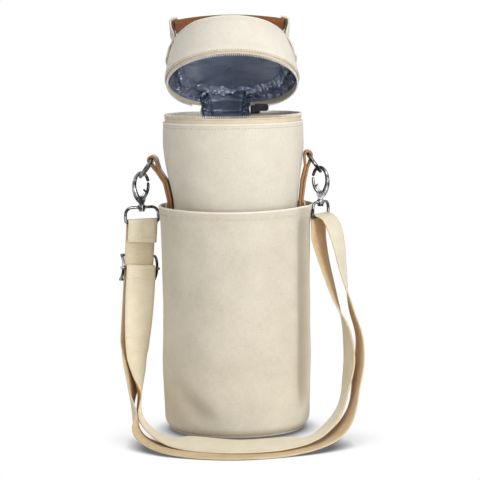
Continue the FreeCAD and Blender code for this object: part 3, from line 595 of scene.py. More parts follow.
def turned(name, outline, material, count=200, start=0.0, sweep=360.0, soft=None, place=None,
           closed=True):
    """An outline of (radius, height) turned about the bag's axis.
    soft(angle, radius, height) gives the cloth's form and place() carries a point to where it belongs."""
    whole = sweep >= 360.0
    columns = count if whole else count + 1
    arc = math.radians(sweep) * max(r for r, z in outline)
    points = []
    rows = []
    for r, z in outline:
        row = []
        for i in range(1 if r == 0 else columns):
            angle = math.radians(start + sweep * i / count)
            rr, zz = soft(angle, r, z) if soft else (r, z)
            spot = polar(rr, angle, zz)
            row.append(len(points))
            points.append(place(spot) if place else spot)
        row = row if len(row) > 1 else row * columns
        rows.append(row + row[:1] if whole else row)
    lengths = run_lengths(list(outline) + list(outline[:1]))
    flat = [arc * i / count for i in range(count + 1)]
    faces, uvs = lattice(rows + rows[:1] if closed else rows, flat, lengths)
    if closed and not whole:
        for i, order in ((0, 1), (count, -1)):
            faces.append([row[i] for row in rows][::order])
            uvs += [(r, z) for r, z in outline][::order]
    return piece(name, points, faces, uvs, material)


def rounded(points, radii, steps=7):
    """A path of straight runs joined by round bends."""
    points = [Vector(p) for p in points]
    path = [points[0]]
    for i, radius in enumerate(radii, 1):
        before = (points[i] - points[i - 1]).normalized()
        after = (points[i + 1] - points[i]).normalized()
        half = before.angle(after) / 2
        reach = radius * math.tan(half)
        start = points[i] - before * reach
        centre = points[i] + (after - before).normalized() * (radius / math.cos(half))
        axis = before.cross(after).normalized()
        for k in range(steps + 1):
            turn = Matrix.Rotation(2 * half * k / steps, 3, axis)
            path.append(centre + turn @ (start - centre))
    return path + [points[-1]]


def filled(path, gap):
    """The same path with points at most about gap apart."""
    result = []
    for before, after in zip(path, path[1:]):
        count = max(1, math.ceil((after - before).length / gap))
        result += [before.lerp(after, k / count) for k in range(count)]
    return result + [path[-1]]


def band_section(width, thickness, edge, across=9):
    """Closed section of a flat band with softened edges, as (across, out) points."""
    half_w, half_t = width / 2, thickness / 2
    soft = min(half_t * 0.8, edge)
    flat = [-half_w + soft + (width - 2 * soft) * k / (across - 1) for k in range(across)]
    section = [(w, -half_t) for w in flat] + [(half_w, -half_t + soft), (half_w, half_t - soft)]
    section += [(w, half_t) for w in reversed(flat)] + [(-half_w, half_t - soft), (-half_w, -half_t + soft)]
    return section


def band(name, stations, width, thickness, material, soft=None, edge=0.5, begin=0.0, pale=0.0):
    """A flat band through stations of (middle, width direction); begin carries its weave on from another,
    its back face is marked for painted shade, and the mark is mostly gone for the last length given by pale."""
    section = band_section(width, thickness, edge)
    middles = [s[0] for s in stations]
    lengths = run_lengths(middles)
    last = len(stations) - 1
    points = []
    cut = []
    reverse_shade = []
    for i, (middle, width_way) in enumerate(stations):
        along = (middles[min(i + 1, last)] - middles[max(i - 1, 0)]).normalized()
        across = (width_way - along * width_way.dot(along)).normalized()
        out = along.cross(across)
        for w, t in section:
            lift = soft(lengths[i], w) if soft else 0.0
            points.append(middle + across * w + out * (t + lift))
            cut.append(1.0 if abs(w) > width / 2 - 0.1 else 0.0)
            # painted shade on the back face, fading out near the band's end
            tan = step_up(lengths[last] - lengths[i], pale, pale + 40) if pale else 1.0
            reverse_shade.append(0.25 + 0.75 * tan if t < 0 else 0.0)
    lengths = [begin + run for run in lengths]
    size = len(section)
    rows = [[j * size + i % size for i in range(size + 1)] for j in range(last + 1)]
    faces, uvs = lattice(rows, [w + width / 2 for w, t in section + section[:1]], lengths)
    faces.append(list(range(size))[::-1])
    uvs += [(w + width / 2, t) for w, t in section][::-1]
    faces.append([last * size + i for i in range(size)])
    uvs += [(w + width / 2, lengths[-1] + t) for w, t in section]
    obj = piece(name, points, faces, uvs, material)
    mark(obj, "cut_edge", cut)
    mark(obj, "reverse_shade", reverse_shade)
    return obj


def mark(obj, name, values):
    """One number for each point of a piece, for its material to read."""
    layer = obj.data.attributes.new(name, "FLOAT", "POINT")
    layer.data.foreach_set("value", values)


def settled(obj):
    """The piece with its modifiers turned into plain mesh."""
    depsgraph = bpy.context.evaluated_depsgraph_get()
    mesh = bpy.data.meshes.new_from_object(obj.evaluated_get(depsgraph))
    obj.modifiers.clear()
    obj.data = mesh
    mesh.name = obj.name
    return obj


def thickened(obj, thickness, side=-1.0):
    """Cloth given its thickness."""
    solid = obj.modifiers.new("cloth", "SOLIDIFY")
    solid.thickness = thickness * MM
    solid.offset = side
    return settled(obj)


def buckled(obj, held, inward, slack, limit, room):
    """Cloth cut too big for its place, simulated until it buckles between the points that hold it.
    held has 1 for a sewn point and 0 for a free one. No point moves more than limit millimetres,
    or more than room millimetres against its inward direction, where the padding is."""
    before = [v.co.copy() for v in obj.data.vertices]
    sewn = obj.vertex_groups.new(name="sewn")
    for i, hold in enumerate(held):
        sewn.add([i], hold, "REPLACE")
    cloth = obj.modifiers.new("slack", "CLOTH")
    cloth.settings.vertex_group_mass = "sewn"
    cloth.settings.shrink_min = -slack
    for key, value in CLOTH.items():
        setattr(cloth.settings, key, value)
    cloth.settings.effector_weights.gravity = 0
    cloth.collision_settings.use_collision = False
    scene = bpy.context.scene
    for step in range(CLOTH_FRAMES):
        scene.frame_set(step + 1)
    settled(obj)
    scene.frame_set(1)
    for point, start, clear in zip(obj.data.vertices, before, inward):
        move = point.co - start
        move += clear * max(0.0, -room * MM - move.dot(clear))
        point.co = start + move / max(1.0, move.length / (limit * MM))


# ---------------------------------------------------------------- repeats along a path

def bead_tree():
    """Geometry Nodes: rounded beads set along a path, for stitches and zip teeth."""
    tree = bpy.data.node_groups.new("beads_along_path", "GeometryNodeTree")
    tree.interface.new_socket("Geometry", in_out="OUTPUT", socket_type="NodeSocketGeometry")
    kinds = {"Geometry": "Geometry", "Spacing": "Float", "Uneven": "Float", "Bead Size": "Vector",
             "Up": "Vector", "Material": "Material"}
    for label, kind in kinds.items():
        tree.interface.new_socket(label, in_out="INPUT", socket_type="NodeSocket" + kind)
    f = Nodes(tree)
    given = f.add("NodeGroupInput", {}).outputs
    path = f.add("GeometryNodeMeshToCurve", {"Mesh": given["Geometry"]}).outputs[0]
    along = {"Curve": path, "Length": given["Spacing"]}
    marks = f.add("GeometryNodeCurveToPoints", along, mode="LENGTH").outputs
    axes = {0: marks["Tangent"], 1: given["Up"]}
    turn = f.add("FunctionNodeAxesToRotation", axes, primary_axis="X", secondary_axis="Z")
    ball = f.add("GeometryNodeMeshUVSphere", {"Segments": 8, "Rings": 5, "Radius": 0.5}).outputs["Mesh"]
    shape = f.add("GeometryNodeTransform", {"Geometry": ball, "Scale": given["Bead Size"]})
    least = f.maths("SUBTRACT", 1.0, given["Uneven"])
    chance = f.add("FunctionNodeRandomValue", {2: least, 3: 1.0, "Seed": 7}, data_type="FLOAT")
    spots = {"Points": marks["Points"], "Instance": shape.outputs[0], "Rotation": turn.outputs[0],
             "Scale": chance.outputs[1]}
    beads_set = f.add("GeometryNodeInstanceOnPoints", spots).outputs[0]
    real = f.add("GeometryNodeRealizeInstances", {0: beads_set}).outputs[0]
    smooth = f.add("GeometryNodeSetShadeSmooth", {0: real}).outputs[0]
    dressed = f.add("GeometryNodeSetMaterial", {"Geometry": smooth, "Material": given["Material"]})
    f.add("NodeGroupOutput", {0: dressed.outputs[0]})
    return tree


BEADS = bead_tree()


def beads(name, paths, kind, material, up=UP, uneven=0.2):
    """Beads of one kind, a spacing and a size, along paths of points in millimetres."""
    spacing, size = kind
    points = []
    edges = []
    for path in paths:
        first = len(points)
        points += [Vector(p) * MM for p in path]
        edges += [(first + i, first + i + 1) for i in range(len(path) - 1)]
    mesh = bpy.data.meshes.new(name)
    mesh.from_pydata(points, edges, [])
    obj = added(name, mesh)
    made = obj.modifiers.new("beads", "NODES")
    made.node_group = BEADS
    values = {"Spacing": spacing * MM, "Uneven": uneven, "Bead Size": Vector(size) * MM, "Up": Vector(up),
              "Material": material}
    for socket in BEADS.interface.items_tree:
        if socket.in_out == "INPUT" and socket.name in values:
            made[socket.identifier] = values[socket.name]
    settled(obj)
    return obj


def ring_path(radius, height, start=0.0, sweep=360.0, count=180, place=None, soft=None):
    """Points round the bag's axis."""
    path = []
    for i in range(count + 1):
        angle = math.radians(start + sweep * i / count)
        r, z = soft(angle, radius, height) if soft else (radius, height)
        spot = polar(r, angle, z)
        path.append(place(spot) if place else spot)
    return path


# ---------------------------------------------------------------- soft forms

def bell(value, middle, width):
    """A soft bump, 1 at its middle."""
    return math.exp(-((value - middle) / width) ** 2)


def step_up(value, low, high):
    """A smooth step from 0 at the low value to 1 at the high one."""
    share = min(max((value - low) / (high - low), 0.0), 1.0)
    return share * share * (3 - 2 * share)


def round_noise(angle, height, turns, tall, seed):
    """Smooth noise that closes round the bag: turns is its pace round, tall its length in height."""
    return noise.noise(Vector((math.cos(angle) * turns, math.sin(angle) * turns + seed, height / tall)))


def creased(angle, height, turns, tall, seed):
    """Sharp ridges between soft hollows, from 0 to 1."""
    return 1 - min(1.0, 2.4 * abs(round_noise(angle, height, turns, tall, seed)))


def waist_dent(angle, z):
    """The padded wall gives way where the left tab is sewn on."""
    turn = math.degrees(math.atan2(math.sin(angle), math.cos(angle)))
    from_tab = abs(abs(turn) - LEFT_DENT)
    return 2.9 * bell(from_tab, 0, 40) * bell(z, 204, 22)


def body_soft(angle, r, z):
    """Padded canvas: soft dents, held in at the seam under the zip."""
    free = step_up(z, 8, 30) * (1 - step_up(z, 262, 272))
    low = round_noise(angle, z, 1.4, 46.0, 3.1) * 0.7 + round_noise(angle, z, 3.4, 21.0, 9.7) * 0.3
    tucks = round_noise(angle, z, 22.0, 60.0, 5.5) * 0.22 * step_up(z, 252, 270)
    out = low * free - 0.35 * bell(z, RIM_ROW_Z, 1.6) + tucks * (1 - step_up(z, 273.5, 275))
    return r + out - waist_dent(angle, z), z


def sleeve_soft(angle, r, z):
    """Loose sleeve: broad slack folds, a dent low on the left, a deep fold along the right and a rim that
    sags in front and flares on the right."""
    free = step_up(z, 12, 45)
    slack = round_noise(angle, z, 1.2, 75.0, 1.3) * 0.8 + round_noise(angle, z, 2.7, 34.0, 6.2) * 0.55
    drag = round_noise(angle + z * 0.006, z, 4.6, 80.0, 12.4) * 0.35
    rim = step_up(z, 150, 201)
    front = max(0.0, -math.sin(angle))
    left = max(0.0, -math.cos(angle)) ** 6
    dimple = 0.5 + 0.5 * math.sin(angle * 150)
    hem = -(0.25 + 0.3 * dimple) * bell(z, HEM_ROW_Z, 1.3)
    flare = left * (-0.9 * step_up(z, 188, 201) - 1.7 * step_up(z, 60, 120) * (1 - step_up(z, 186, 199)))
    flare += 2.4 * max(0.0, math.cos(angle)) ** 6 * step_up(z, 184, 201)
    turn = math.degrees(angle) % 360
    low_fold = -3.4 * bell(turn + (z - 26) * 0.9, LOW_FOLD, 12) * bell(z, 28, 20) * step_up(z, 10, 20)
    high_fold = -1.3 * bell(turn - (z - 150) * 0.15, HIGH_FOLD, 14) * step_up(z, 60, 110)
    high_fold *= 1 - step_up(z, 170, 196)
    edge_fold = (0.9 * bell(turn, RIGHT_RIDGE, 4) - 2.6 * bell(turn, RIGHT_FOLD, 5.2)) * step_up(z, 16, 44)
    edge_fold *= 1 - 0.6 * step_up(z, 180, 201)
    out = (slack + drag) * free * (1 - 0.55 * rim) + flare + hem + low_fold + high_fold + edge_fold
    return r + out, z - 1.5 * front ** 3 * rim


def sleeve_shade(angle, z):
    """Painted shade in the sleeve's deep folds, from 0 to 1."""
    turn = math.degrees(angle) % 360
    right = bell(turn, RIGHT_FOLD + 2.5, 7.5) * step_up(z, 14, 40) * (1 - 0.5 * step_up(z, 184, 200))
    low = bell(turn + (z - 26) * 0.9, LOW_FOLD - 2, 12) * bell(z, 26, 18)
    return 0.55 * right + 0.4 * low


def on_lid(spot):
    """A point of the closed lid, carried to the open one, whose soft mouth hangs a little."""
    high = max(0.0, spot.z - RIM_Z)
    narrow = LID_SQUEEZE - LID_TAPER * high
    eased_x = spot.x * (narrow + (1 - narrow) * step_up(high, 40, 54)) - LID_LEAN * high
    from_hinge = Vector((eased_x, spot.y, spot.z)) - HINGE
    from_back = abs(math.degrees(math.atan2(spot.x, spot.y)))
    droop = 3.2 + 1.0 * bell(from_back, 62, 34) - 3.0 * bell(from_back, 0, 29)
    opened = HINGE + LID_TURN @ from_hinge
    slump = (2.6 if spot.x < 0 else 1.2) * step_up(abs(spot.x), 30, 54) * bell(high, 38, 9)
    return opened - UP * (droop * (1 - step_up(high, 3, 38)) + slump)


def lid_soft(angle, r, z):
    """Padded lid wall with faint dents."""
    h = z - RIM_Z
    free = step_up(h, 8, 15) * (1 - step_up(h, 30, 37))
    dents = round_noise(angle, z, 2.2, 18.0, 21.0) * 0.7 + round_noise(angle, z, 6.0, 14.0, 2.0) * 0.2
    return r + dents * free, z


# ---------------------------------------------------------------- kinds of piece

def cord(name, radius, height, wire, material, body, node=None, count=200, soft=None, place=None):
    """A round cord laid round the bag's axis, as piping or as a seam's line."""
    outline = circle_outline(radius, height, wire)
    obj = turned(name, outline, material, count, soft=soft, place=place)
    if node:
        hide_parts(node)
    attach(obj, body)


def cushion(name, outline, body, node, soft=None, place=None, closed=True):
    """A turned piece of padding."""
    obj = turned(name, outline, FOAM, PAD_COLUMNS, soft=soft, place=place, closed=closed)
    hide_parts(node)
    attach(obj, body)


def stitches(name, paths, kind, thread, body, up=UP):
    """Rows of stitches."""
    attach(beads(name, paths, kind, thread, up), body)


def row_values(outline, count, value):
    """value(radius, height) for each point of a turned piece, which meets the axis in one point."""
    values = []
    for r, z in outline:
        values += [value(r, z)] * (count if r else 1)
    return values


def path_length(stations):
    """Length in metres of a band's stations."""
    return run_lengths([middle for middle, width_way in stations])[-1] * MM


# ---------------------------------------------------------------- body

def pad_soft(angle, r, z):
    """Padding that follows the canvas on its outside and stays round within."""
    outside = step_up(r, 52.2, 54.5)
    return r + outside * (round_noise(angle, z, 2.0, 40.0, 4.0) * 0.2 - 0.6 - waist_dent(angle, z)), z


def liner_soft(angle, r, z):
    """Coated lining of the body, crumpled where it turns out to the zip."""
    top = step_up(z, 225, 262) * (1 - step_up(z, 270.5, 273))
    low = step_up(z, 12, 40)
    folds = creased(angle, z, 4.0, 17.0, 31.0) - 0.5
    fine = creased(angle, z, 11.0, 8.0, 44.0) - 0.5
    return r - 0.35 * low - (folds * 0.5 * low + fine * 0.5) * (0.25 * low + 0.75 * top), z


def body_pieces():
    """Canvas wall with its row of stitches, padding and lining."""
    wall = sheet_outline(soft_side(BODY_SIDE, 3.0), CANVAS)
    shell = turned("body_canvas", wall, CANVAS_BODY, BODY_COLUMNS, soft=body_soft)
    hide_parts("body_shell")
    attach(shell, "bag")
    row = ring_path(BODY_RIM_R + 0.15, RIM_ROW_Z, soft=body_soft)
    stitches("body_rim_stitches", [row], RIM_STITCH, THREAD_OLIVE, "bag")

    pad_side = soft_side([(57.5, 10.0)] + BODY_SIDE[1:-2] + [(62.6, 258.0), (62.3, 271.0)], 9.0)
    pad = [(r - CANVAS - 0.35, z) for r, z in pad_side]
    pad += [(60.9, 270.8), (52.2, 262.2)] + [(52.1, z) for z in range(250, 12, -24)] + [(52.1, 9.0)]
    cushion("body_padding", pad, "bag", "body_foam", soft=pad_soft)
    body_liner()


def body_liner():
    """Cup of coated lining, from the zip down to the floor."""
    low = FLOOR_Z + LINING
    cup = [(59.5, 275.0), (59.5, 272.6), (59.0, 270.8), (57.2, 268.7), (54.9, 266.4), (52.6, 264.2)]
    cup += [(CAVITY_R, z) for z in range(261, 15, -5)]
    cup += [(CAVITY_R, low + 2.0), (CAVITY_R - 2.0, low), (25, low), (0, low)]
    liner = turned("body_liner", cup, LINING_COAT, BODY_COLUMNS, soft=liner_soft, closed=False)

    def crumpled(r, z):
        return 0.3 + 0.7 * step_up(z, 230, 262)

    mark(liner, "crumple", row_values(cup, BODY_COLUMNS, crumpled))
    thickened(liner, LINING)
    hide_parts("body_lining")
    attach(liner, "bag")


def sleeve_outline():
    """Closed outline of the pocket sleeve: round foot, side, rolled top, turned hem and inside."""
    side = soft_side(SLEEVE_SIDE, 3.0)[:-3]
    side += [(68.3, 194.4), (68.35, HEM_ROW_Z), (68.4, 197.2), (68.65, 199.0), (68.8, 200.6)]
    foot = []
    for k in range(11):
        turn = math.radians(-90 + 9 * k)
        foot.append((FOOT_R + FOOT_ROUND * math.cos(turn), FOOT_TOP_Z + FOOT_ROUND * math.sin(turn)))
    top = [(68.75, 201.5), (68.5, 202.1), (67.6, 202.4), (66.7, 202.1)]
    hem = [(66.1, 201.2), (66.0, 195.0), (65.8, 190.0), (65.9, 189.0)]
    inner = [(r - CANVAS, z) for r, z in reversed(side) if z < 188.5]
    for r, z in reversed(foot):
        inner.append((FOOT_R + (r - FOOT_R) * FOOT_INSIDE, FOOT_TOP_Z + (z - FOOT_TOP_Z) * FOOT_INSIDE))
    return foot[:-1] + side + top + hem + inner


def sleeve_pieces():
    """Pocket sleeve with its rolled rim, its hem's stitches and the seam round its foot."""
    outline = sleeve_outline()
    count = SLEEVE_COLUMNS
    sleeve = turned("pocket_sleeve_canvas", outline, CANVAS_SLEEVE, count, soft=sleeve_soft)
    turns = [math.tau * i / count for i in range(count)]
    # painted shade along the sleeve's deep folds
    mark(sleeve, "fold", [sleeve_shade(turn, z) for r, z in outline for turn in turns])
    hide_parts("pocket_sleeve")
    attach(sleeve, "bag")
    cord("sleeve_rim_roll", 67.7, 201.8, 1.1, CANVAS_EDGE, "bag", count=300, soft=sleeve_soft)
    row = ring_path(68.75, HEM_ROW_Z, soft=sleeve_soft)
    stitches("sleeve_hem_stitches", [row], HEM_STITCH, THREAD, "bag")
    seams = (("base_seam_line", 42, 0.45, THREAD_OLIVE), ("base_seam_piping", 33, 0.85, CANVAS_EDGE))
    for name, lift, wire, material in seams:
        slant = math.radians(lift)
        seam_z = FOOT_TOP_Z - FOOT_ROUND * math.cos(slant)
        cord(name, FOOT_R + FOOT_ROUND * math.sin(slant), seam_z, wire, material, "bag")


def base_pieces():
    """Base panel, the piping round it and the cushion over the board."""
    edge = [(BASE_R - 1.0, 0.0), (BASE_R, 0.5), (BASE_R, 0.9), (BASE_R - 0.6, 1.2)]
    outline = [(0, 0.0), (20, 0.0)] + edge + [(20, 1.2), (0, 1.2)]
    panel = turned("base_canvas", outline, CANVAS_SLEEVE, 120, closed=False)
    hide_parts("base_panel")
    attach(panel, "bag")
    cord("base_edge_piping", 51.0, 1.1, 1.1, CANVAS_EDGE, "bag", "base_piping", count=160)
    pad = [(0, 3.75), (30, 3.75), (50, 3.75), (54.4, 4.4), (55.2, 5.6), (54.4, 6.9), (49, 7.5), (30, 7.5)]
    cushion("base_padding", pad + [(0, 7.5)], "bag", "base_foam", closed=False)


# ---------------------------------------------------------------- zip and hinge

def tape_soft(angle, r, z):
    """A faint ripple along the zip's tape."""
    return r + round_noise(angle, z, 9.0, 30.0, 8.0) * 0.12, z


def zip_tape(name, low, high, body, node, place=None):
    """The woven tape of one side of the zip, between two heights."""
    side = [(ZIP_R + TAPE_T / 2, low + (high - low) * k / 6) for k in range(7)]
    outline = side + [(r - TAPE_T, z) for r, z in reversed(side)]
    tape = turned(name, outline, TAPE, 200, ZIP_FROM, ZIP_SWEEP, soft=tape_soft, place=place)
    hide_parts(node)
    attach(tape, body)
    return tape


def zip_teeth(name, path, body, node, up=UP):
    """One row of the zip's teeth."""
    row = beads(name, [path], TOOTH, TEETH, up, uneven=0.05)
    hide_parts(node)
    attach(row, body)


def zip_pieces():
    """Tapes and teeth on body and lid, and the piping under the body's tape."""
    low_tape = zip_tape("body_tape", RIM_Z - 12.8, RIM_Z - TAPE_OFF, "bag", "body_zip_tape")
    zip_tape("lid_tape", RIM_Z + TAPE_OFF, RIM_Z + 9.5, "lid", "lid_zip_tape", on_lid)
    seam = ring_path(ZIP_R + 0.45, RIM_Z - 4.2, ZIP_FROM, ZIP_SWEEP)
    stitches("body_tape_stitches", [seam], TAPE_STITCH, THREAD_TAN, "bag")
    low_row = ring_path(ZIP_R, RIM_Z - TOOTH_OFF, ZIP_FROM, ZIP_SWEEP)
    zip_teeth("body_teeth", low_row, "bag", "body_zip_teeth")
    first = ZIP_FROM + SLIDER_PARK
    high_row = ring_path(ZIP_R, RIM_Z + TOOTH_OFF, first, ZIP_SWEEP - 2 * SLIDER_PARK, place=on_lid)
    zip_teeth("lid_teeth", high_row, "lid", "lid_zip_teeth", LID_AXIS)
    cord("rim_piping", 61.98, 276.48, 0.95, CANVAS_EDGE, "bag", "body_rim_piping")


def hinge_strip(name, marks, start, sweep, wider, thickness, material, node, form):
    """Cloth that runs up from the body and over to the open lid, through marks of radius, height,
    whether the lid carries it, and what share of the extra width it has there."""
    count = HINGE_COLUMNS
    stations = []
    for r, h, lid_side, extra in marks:
        row = []
        for i in range(count + 1):
            share = i / count - 0.5
            angle = math.radians(start + sweep / 2 + share * (sweep + wider * extra))
            spot = polar(r, angle, RIM_Z + h)
            row.append(on_lid(spot) if lid_side else spot)
        stations.append(row)
    columns = [eased([row[i] for row in stations], 5) for i in range(count + 1)]
    rows = len(columns[0])
    points = []
    crumpled = []
    for j in range(rows):
        for i in range(count + 1):
            spot = columns[i][j]
            inward = Vector((-spot.x, HINGE.y - 120 - spot.y, 0)).normalized()
            points.append(spot + inward * form(i / count, j / (rows - 1)))
            crumpled.append(flap_edge(i / count))
    lengths = run_lengths(columns[count // 2])
    wide = math.radians(sweep) * marks[0][0]
    grid = [[j * (count + 1) + i for i in range(count + 1)] for j in range(rows)]
    faces, uvs = lattice(grid, [wide * i / count for i in range(count + 1)], lengths, flip=True)
    strip = piece(name, points, faces, uvs, material)
    mark(strip, "crumple", crumpled)
    thickened(strip, thickness, 0.0)
    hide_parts(node)
    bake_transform(strip)


def flap_edge(across):
    """1 along both side edges of a hinge strip and 0 between them."""
    return 1 - step_up(min(across, 1 - across), 0.12, 0.18)


def panel_form(across, along):
    """The canvas hinge: a slight ripple up its middle."""
    return 0.25 * math.sin(along * 9) * bell(along, 0.5, 0.3)


def flap_form(across, along):
    """The lining flap: gathered edges, a groove beside each, and room for the zip's pull on the right."""
    edge = flap_edge(across)
    groove = max(bell(across, 0.17, 0.025), bell(across, 0.83, 0.025))
    folds = 1 - min(1.0, 2.2 * abs(noise.noise(Vector((across * 3.0, along * 3.5, 3.3)))))
    fine = 1 - min(1.0, 2.4 * abs(noise.noise(Vector((across * 16.0, along * 14.0, 8.1)))))
    clear = 1.9 * step_up(across, 0.76, 0.9) * bell(along, 0.45, 0.32)
    return 0.7 * edge - 0.6 * groove + folds * 0.35 + fine * (0.08 + 0.75 * edge) - clear


def hinge_pieces():
    """Canvas panel outside the hinge and lining flap inside it."""
    sweep = HINGE_TO - HINGE_FROM
    outside = [(60.8, -7.2, False, 0), (60.8, -4.0, False, 0), (60.9, -1.2, False, 0), (60.9, 1.2, True, 0),
               (60.8, 3.0, True, 0), (60.8, 4.7, True, 0)]
    hinge_strip("hinge_canvas", outside, HINGE_FROM - 1.3, sweep + 2.7, 0, 1.1, CANVAS_BODY,
                "hinge_panel", panel_form)
    inside = [(58.5, -12.0, False, 0), (58.3, -8.0, False, 0), (58.2, -3.5, False, 0.1),
              (58.1, -0.5, False, 0.2), (58.0, 3.0, True, 0.4), (57.6, 7.0, True, 0.6),
              (55.6, 11.0, True, 0.85), (53.4, 14.4, True, 1.0)]
    # the flap's lining is painted darker, as painted shade
    hinge_strip("hinge_flap", inside, HINGE_FROM - 1, sweep, 13, 0.5, LINING_SHADED,
                "hinge_lining", flap_form)


# ---------------------------------------------------------------- lid

def lid_pieces():
    """Canvas wall and cover of the lid, their piping and stitches, padding and lining."""
    top = RIM_Z + LID_H
    side = [(r, RIM_Z + h) for r, h in soft_side(LID_SIDE, 1.5)]
    outline = sheet_outline(side, CANVAS)
    wall = turned("lid_canvas", outline, CANVAS_LID, 200, soft=lid_soft, place=on_lid)
    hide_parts("lid_wall")
    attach(wall, "lid")
    seam = ring_path(62.7, RIM_Z + 5.9, soft=lid_soft, place=on_lid)
    stitches("lid_seam_stitches", [seam], LID_STITCH, THREAD_TAN, "lid", LID_AXIS)

    marks = [(0, -1.2), (40, -1.2), (53.0, -1.2), (53.3, -0.7), (52.7, 0), (48, 0.5), (40, 0.9), (20, 1.2),
             (0, 1.3)]
    disc = [(r, top + h) for r, h in marks]
    cover = turned("lid_cover", disc, CANVAS_BODY, 140, place=on_lid, closed=False)
    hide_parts("lid_top")
    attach(cover, "lid")
    cord("lid_edge_piping", 54.3, top - 0.7, 0.95, CANVAS_EDGE, "lid", "lid_top_piping", count=180,
         place=on_lid)

    pad_wall = [(r - 1.5, RIM_Z + h) for r, h in soft_side(LID_SIDE[2:5], 4.0)]
    pad_wall += [(r - 2.9, z) for r, z in reversed(pad_wall)]
    cushion("lid_padding_wall", pad_wall, "lid", "lid_foam_wall", place=on_lid)
    marks = [(0, 5.3), (30, 5.3), (48, 5.2), (50.6, 4.2), (50.8, 2.8), (49, 1.7), (30, 1.5), (0, 1.5)]
    disc = [(r, top - h) for r, h in marks]
    cushion("lid_padding_top", disc, "lid", "lid_foam_disc", place=on_lid, closed=False)
    lid_liner()


def lid_liner_soft(angle, r, z):
    """Coated lining of the lid: crumpled walls gathered into the seam round its ceiling."""
    h = z - RIM_Z
    wall = step_up(h, 7.5, 10.5) * step_up(r, 49.5, 53.5)
    ruffle = bell(r, 50.0, 2.2)
    folds = creased(angle, z, 3.4, 7.0, 71.0) - 0.45
    fine = creased(angle, z, 8.0, 5.0, 52.0) - 0.5
    gathers = creased(angle, z, 9.0, 90.0, 15.0) - 0.4
    out = -(folds * 3.0 + fine * 2.2) * wall - (gathers * 2.4 + fine * 1.0) * ruffle
    sag = -(gathers * 2.8 + folds * 1.8 + 0.8) * ruffle + (folds * 1.8 + fine * 1.6) * wall
    x, y = r * math.cos(angle) / 30, r * math.sin(angle) / 15
    ceiling = 1 - step_up(r, 36, 47)
    sag += ceiling * 1.5 * noise.noise(Vector((x * 0.8 + y * 0.4, y, 6.6)))
    sag += step_up(r, 30, 44) * (1 - step_up(r, 44, 48)) * 0.7 * (creased(angle, z, 5.0, 60.0, 33.0) - 0.5)
    return r + out, z + sag


def lid_liner():
    """Lining of the lid, sewn at the zip and at its ceiling, with slack cloth buckled between them."""
    marks = [(59.6, 6.3), (59.6, 9.0), (58.6, 10.8), (57.0, 12.6), (55.4, 14.4), (54.0, 15.8), (52.8, 16.4),
             (51.8, 15.0), (51.0, 12.8), (50.0, 11.8), (48.9, 12.6), (47.8, 15.0), (46.2, 16.5)]
    wall = eased([(r, RIM_Z + h) for r, h in marks], 3)
    cup = [(p[0], p[1]) for p in wall]
    cup += [(r, RIM_Z + 16.6 + (45 - r) * 0.02) for r in range(44, 2, -2)] + [(0, RIM_Z + 17.5)]
    count = LID_LINER_COLUMNS
    liner = turned("lid_liner", cup, LINING_COAT, count, soft=lid_liner_soft, place=on_lid,
                   closed=False)

    def crumpled(r, z):
        return step_up(r, 44, 48)

    def sewn(r, z):
        at_zip = 1 - step_up(z - RIM_Z, 7.5, 10.5) if r > 56 else 0.0
        return max(at_zip, 1 - step_up(r, 42, 46))

    mark(liner, "crumple", row_values(cup, count, crumpled))
    inward = []
    for r, z in cup:
        for i in range(count if r else 1):
            away = polar(1, math.tau * i / count) * step_up(r, 44, 50)
            inward.append(LID_TURN @ -(away + UP * 0.7).normalized())
    buckled(liner, row_values(cup, count, sewn), inward, slack=0.18, limit=4.5, room=0.2)
    thickened(liner, LINING, 1.0)
    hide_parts("lid_lining")
    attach(liner, "lid")


# ---------------------------------------------------------------- handle

def hugging(length, across):
    """How far a leg of the handle bends in round the lid, low down where it is sewn on."""
    return across * across / 118 * (1 - step_up(length, 20, 32))


def handle_pieces():
    """Leather grip on the lid with its stitches, and a canvas leg at each end."""
    end_z = RIM_Z + LID_H + HANDLE_END_H
    rise = HANDLE_MID_H - HANDLE_END_H
    bow = (HANDLE_END_X ** 2 + rise ** 2) / (2 * rise)
    width_way = on_lid(Vector((0, 1, RIM_Z))) - on_lid(Vector((0, 0, RIM_Z)))
    arch = []
    for k in range(41):
        x = -HANDLE_END_X + 2 * HANDLE_END_X * k / 40
        arch.append(Vector((x, 0, end_z + rise - bow + math.sqrt(bow * bow - x * x))))
    stations = [(on_lid(p), width_way) for p in arch]
    strap = band("handle_leather", stations, HANDLE_W, HANDLE_T, LEATHER_TAN)
    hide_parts("handle_strap")
    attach(strap, "lid")
    rows = []
    for y in (-HANDLE_W / 2 + 2.2, HANDLE_W / 2 - 2.2):
        for lift in (HANDLE_T / 2, -HANDLE_T / 2):
            rows.append([on_lid(p + Vector((0, y, lift))) for p in arch[2:-2]])
    stitches("handle_stitches", rows, HANDLE_STITCH, THREAD_TAN, "lid", LID_AXIS)
    for name, side in (("right", 1), ("left", -1)):
        handle_leg(name, side, width_way * side)


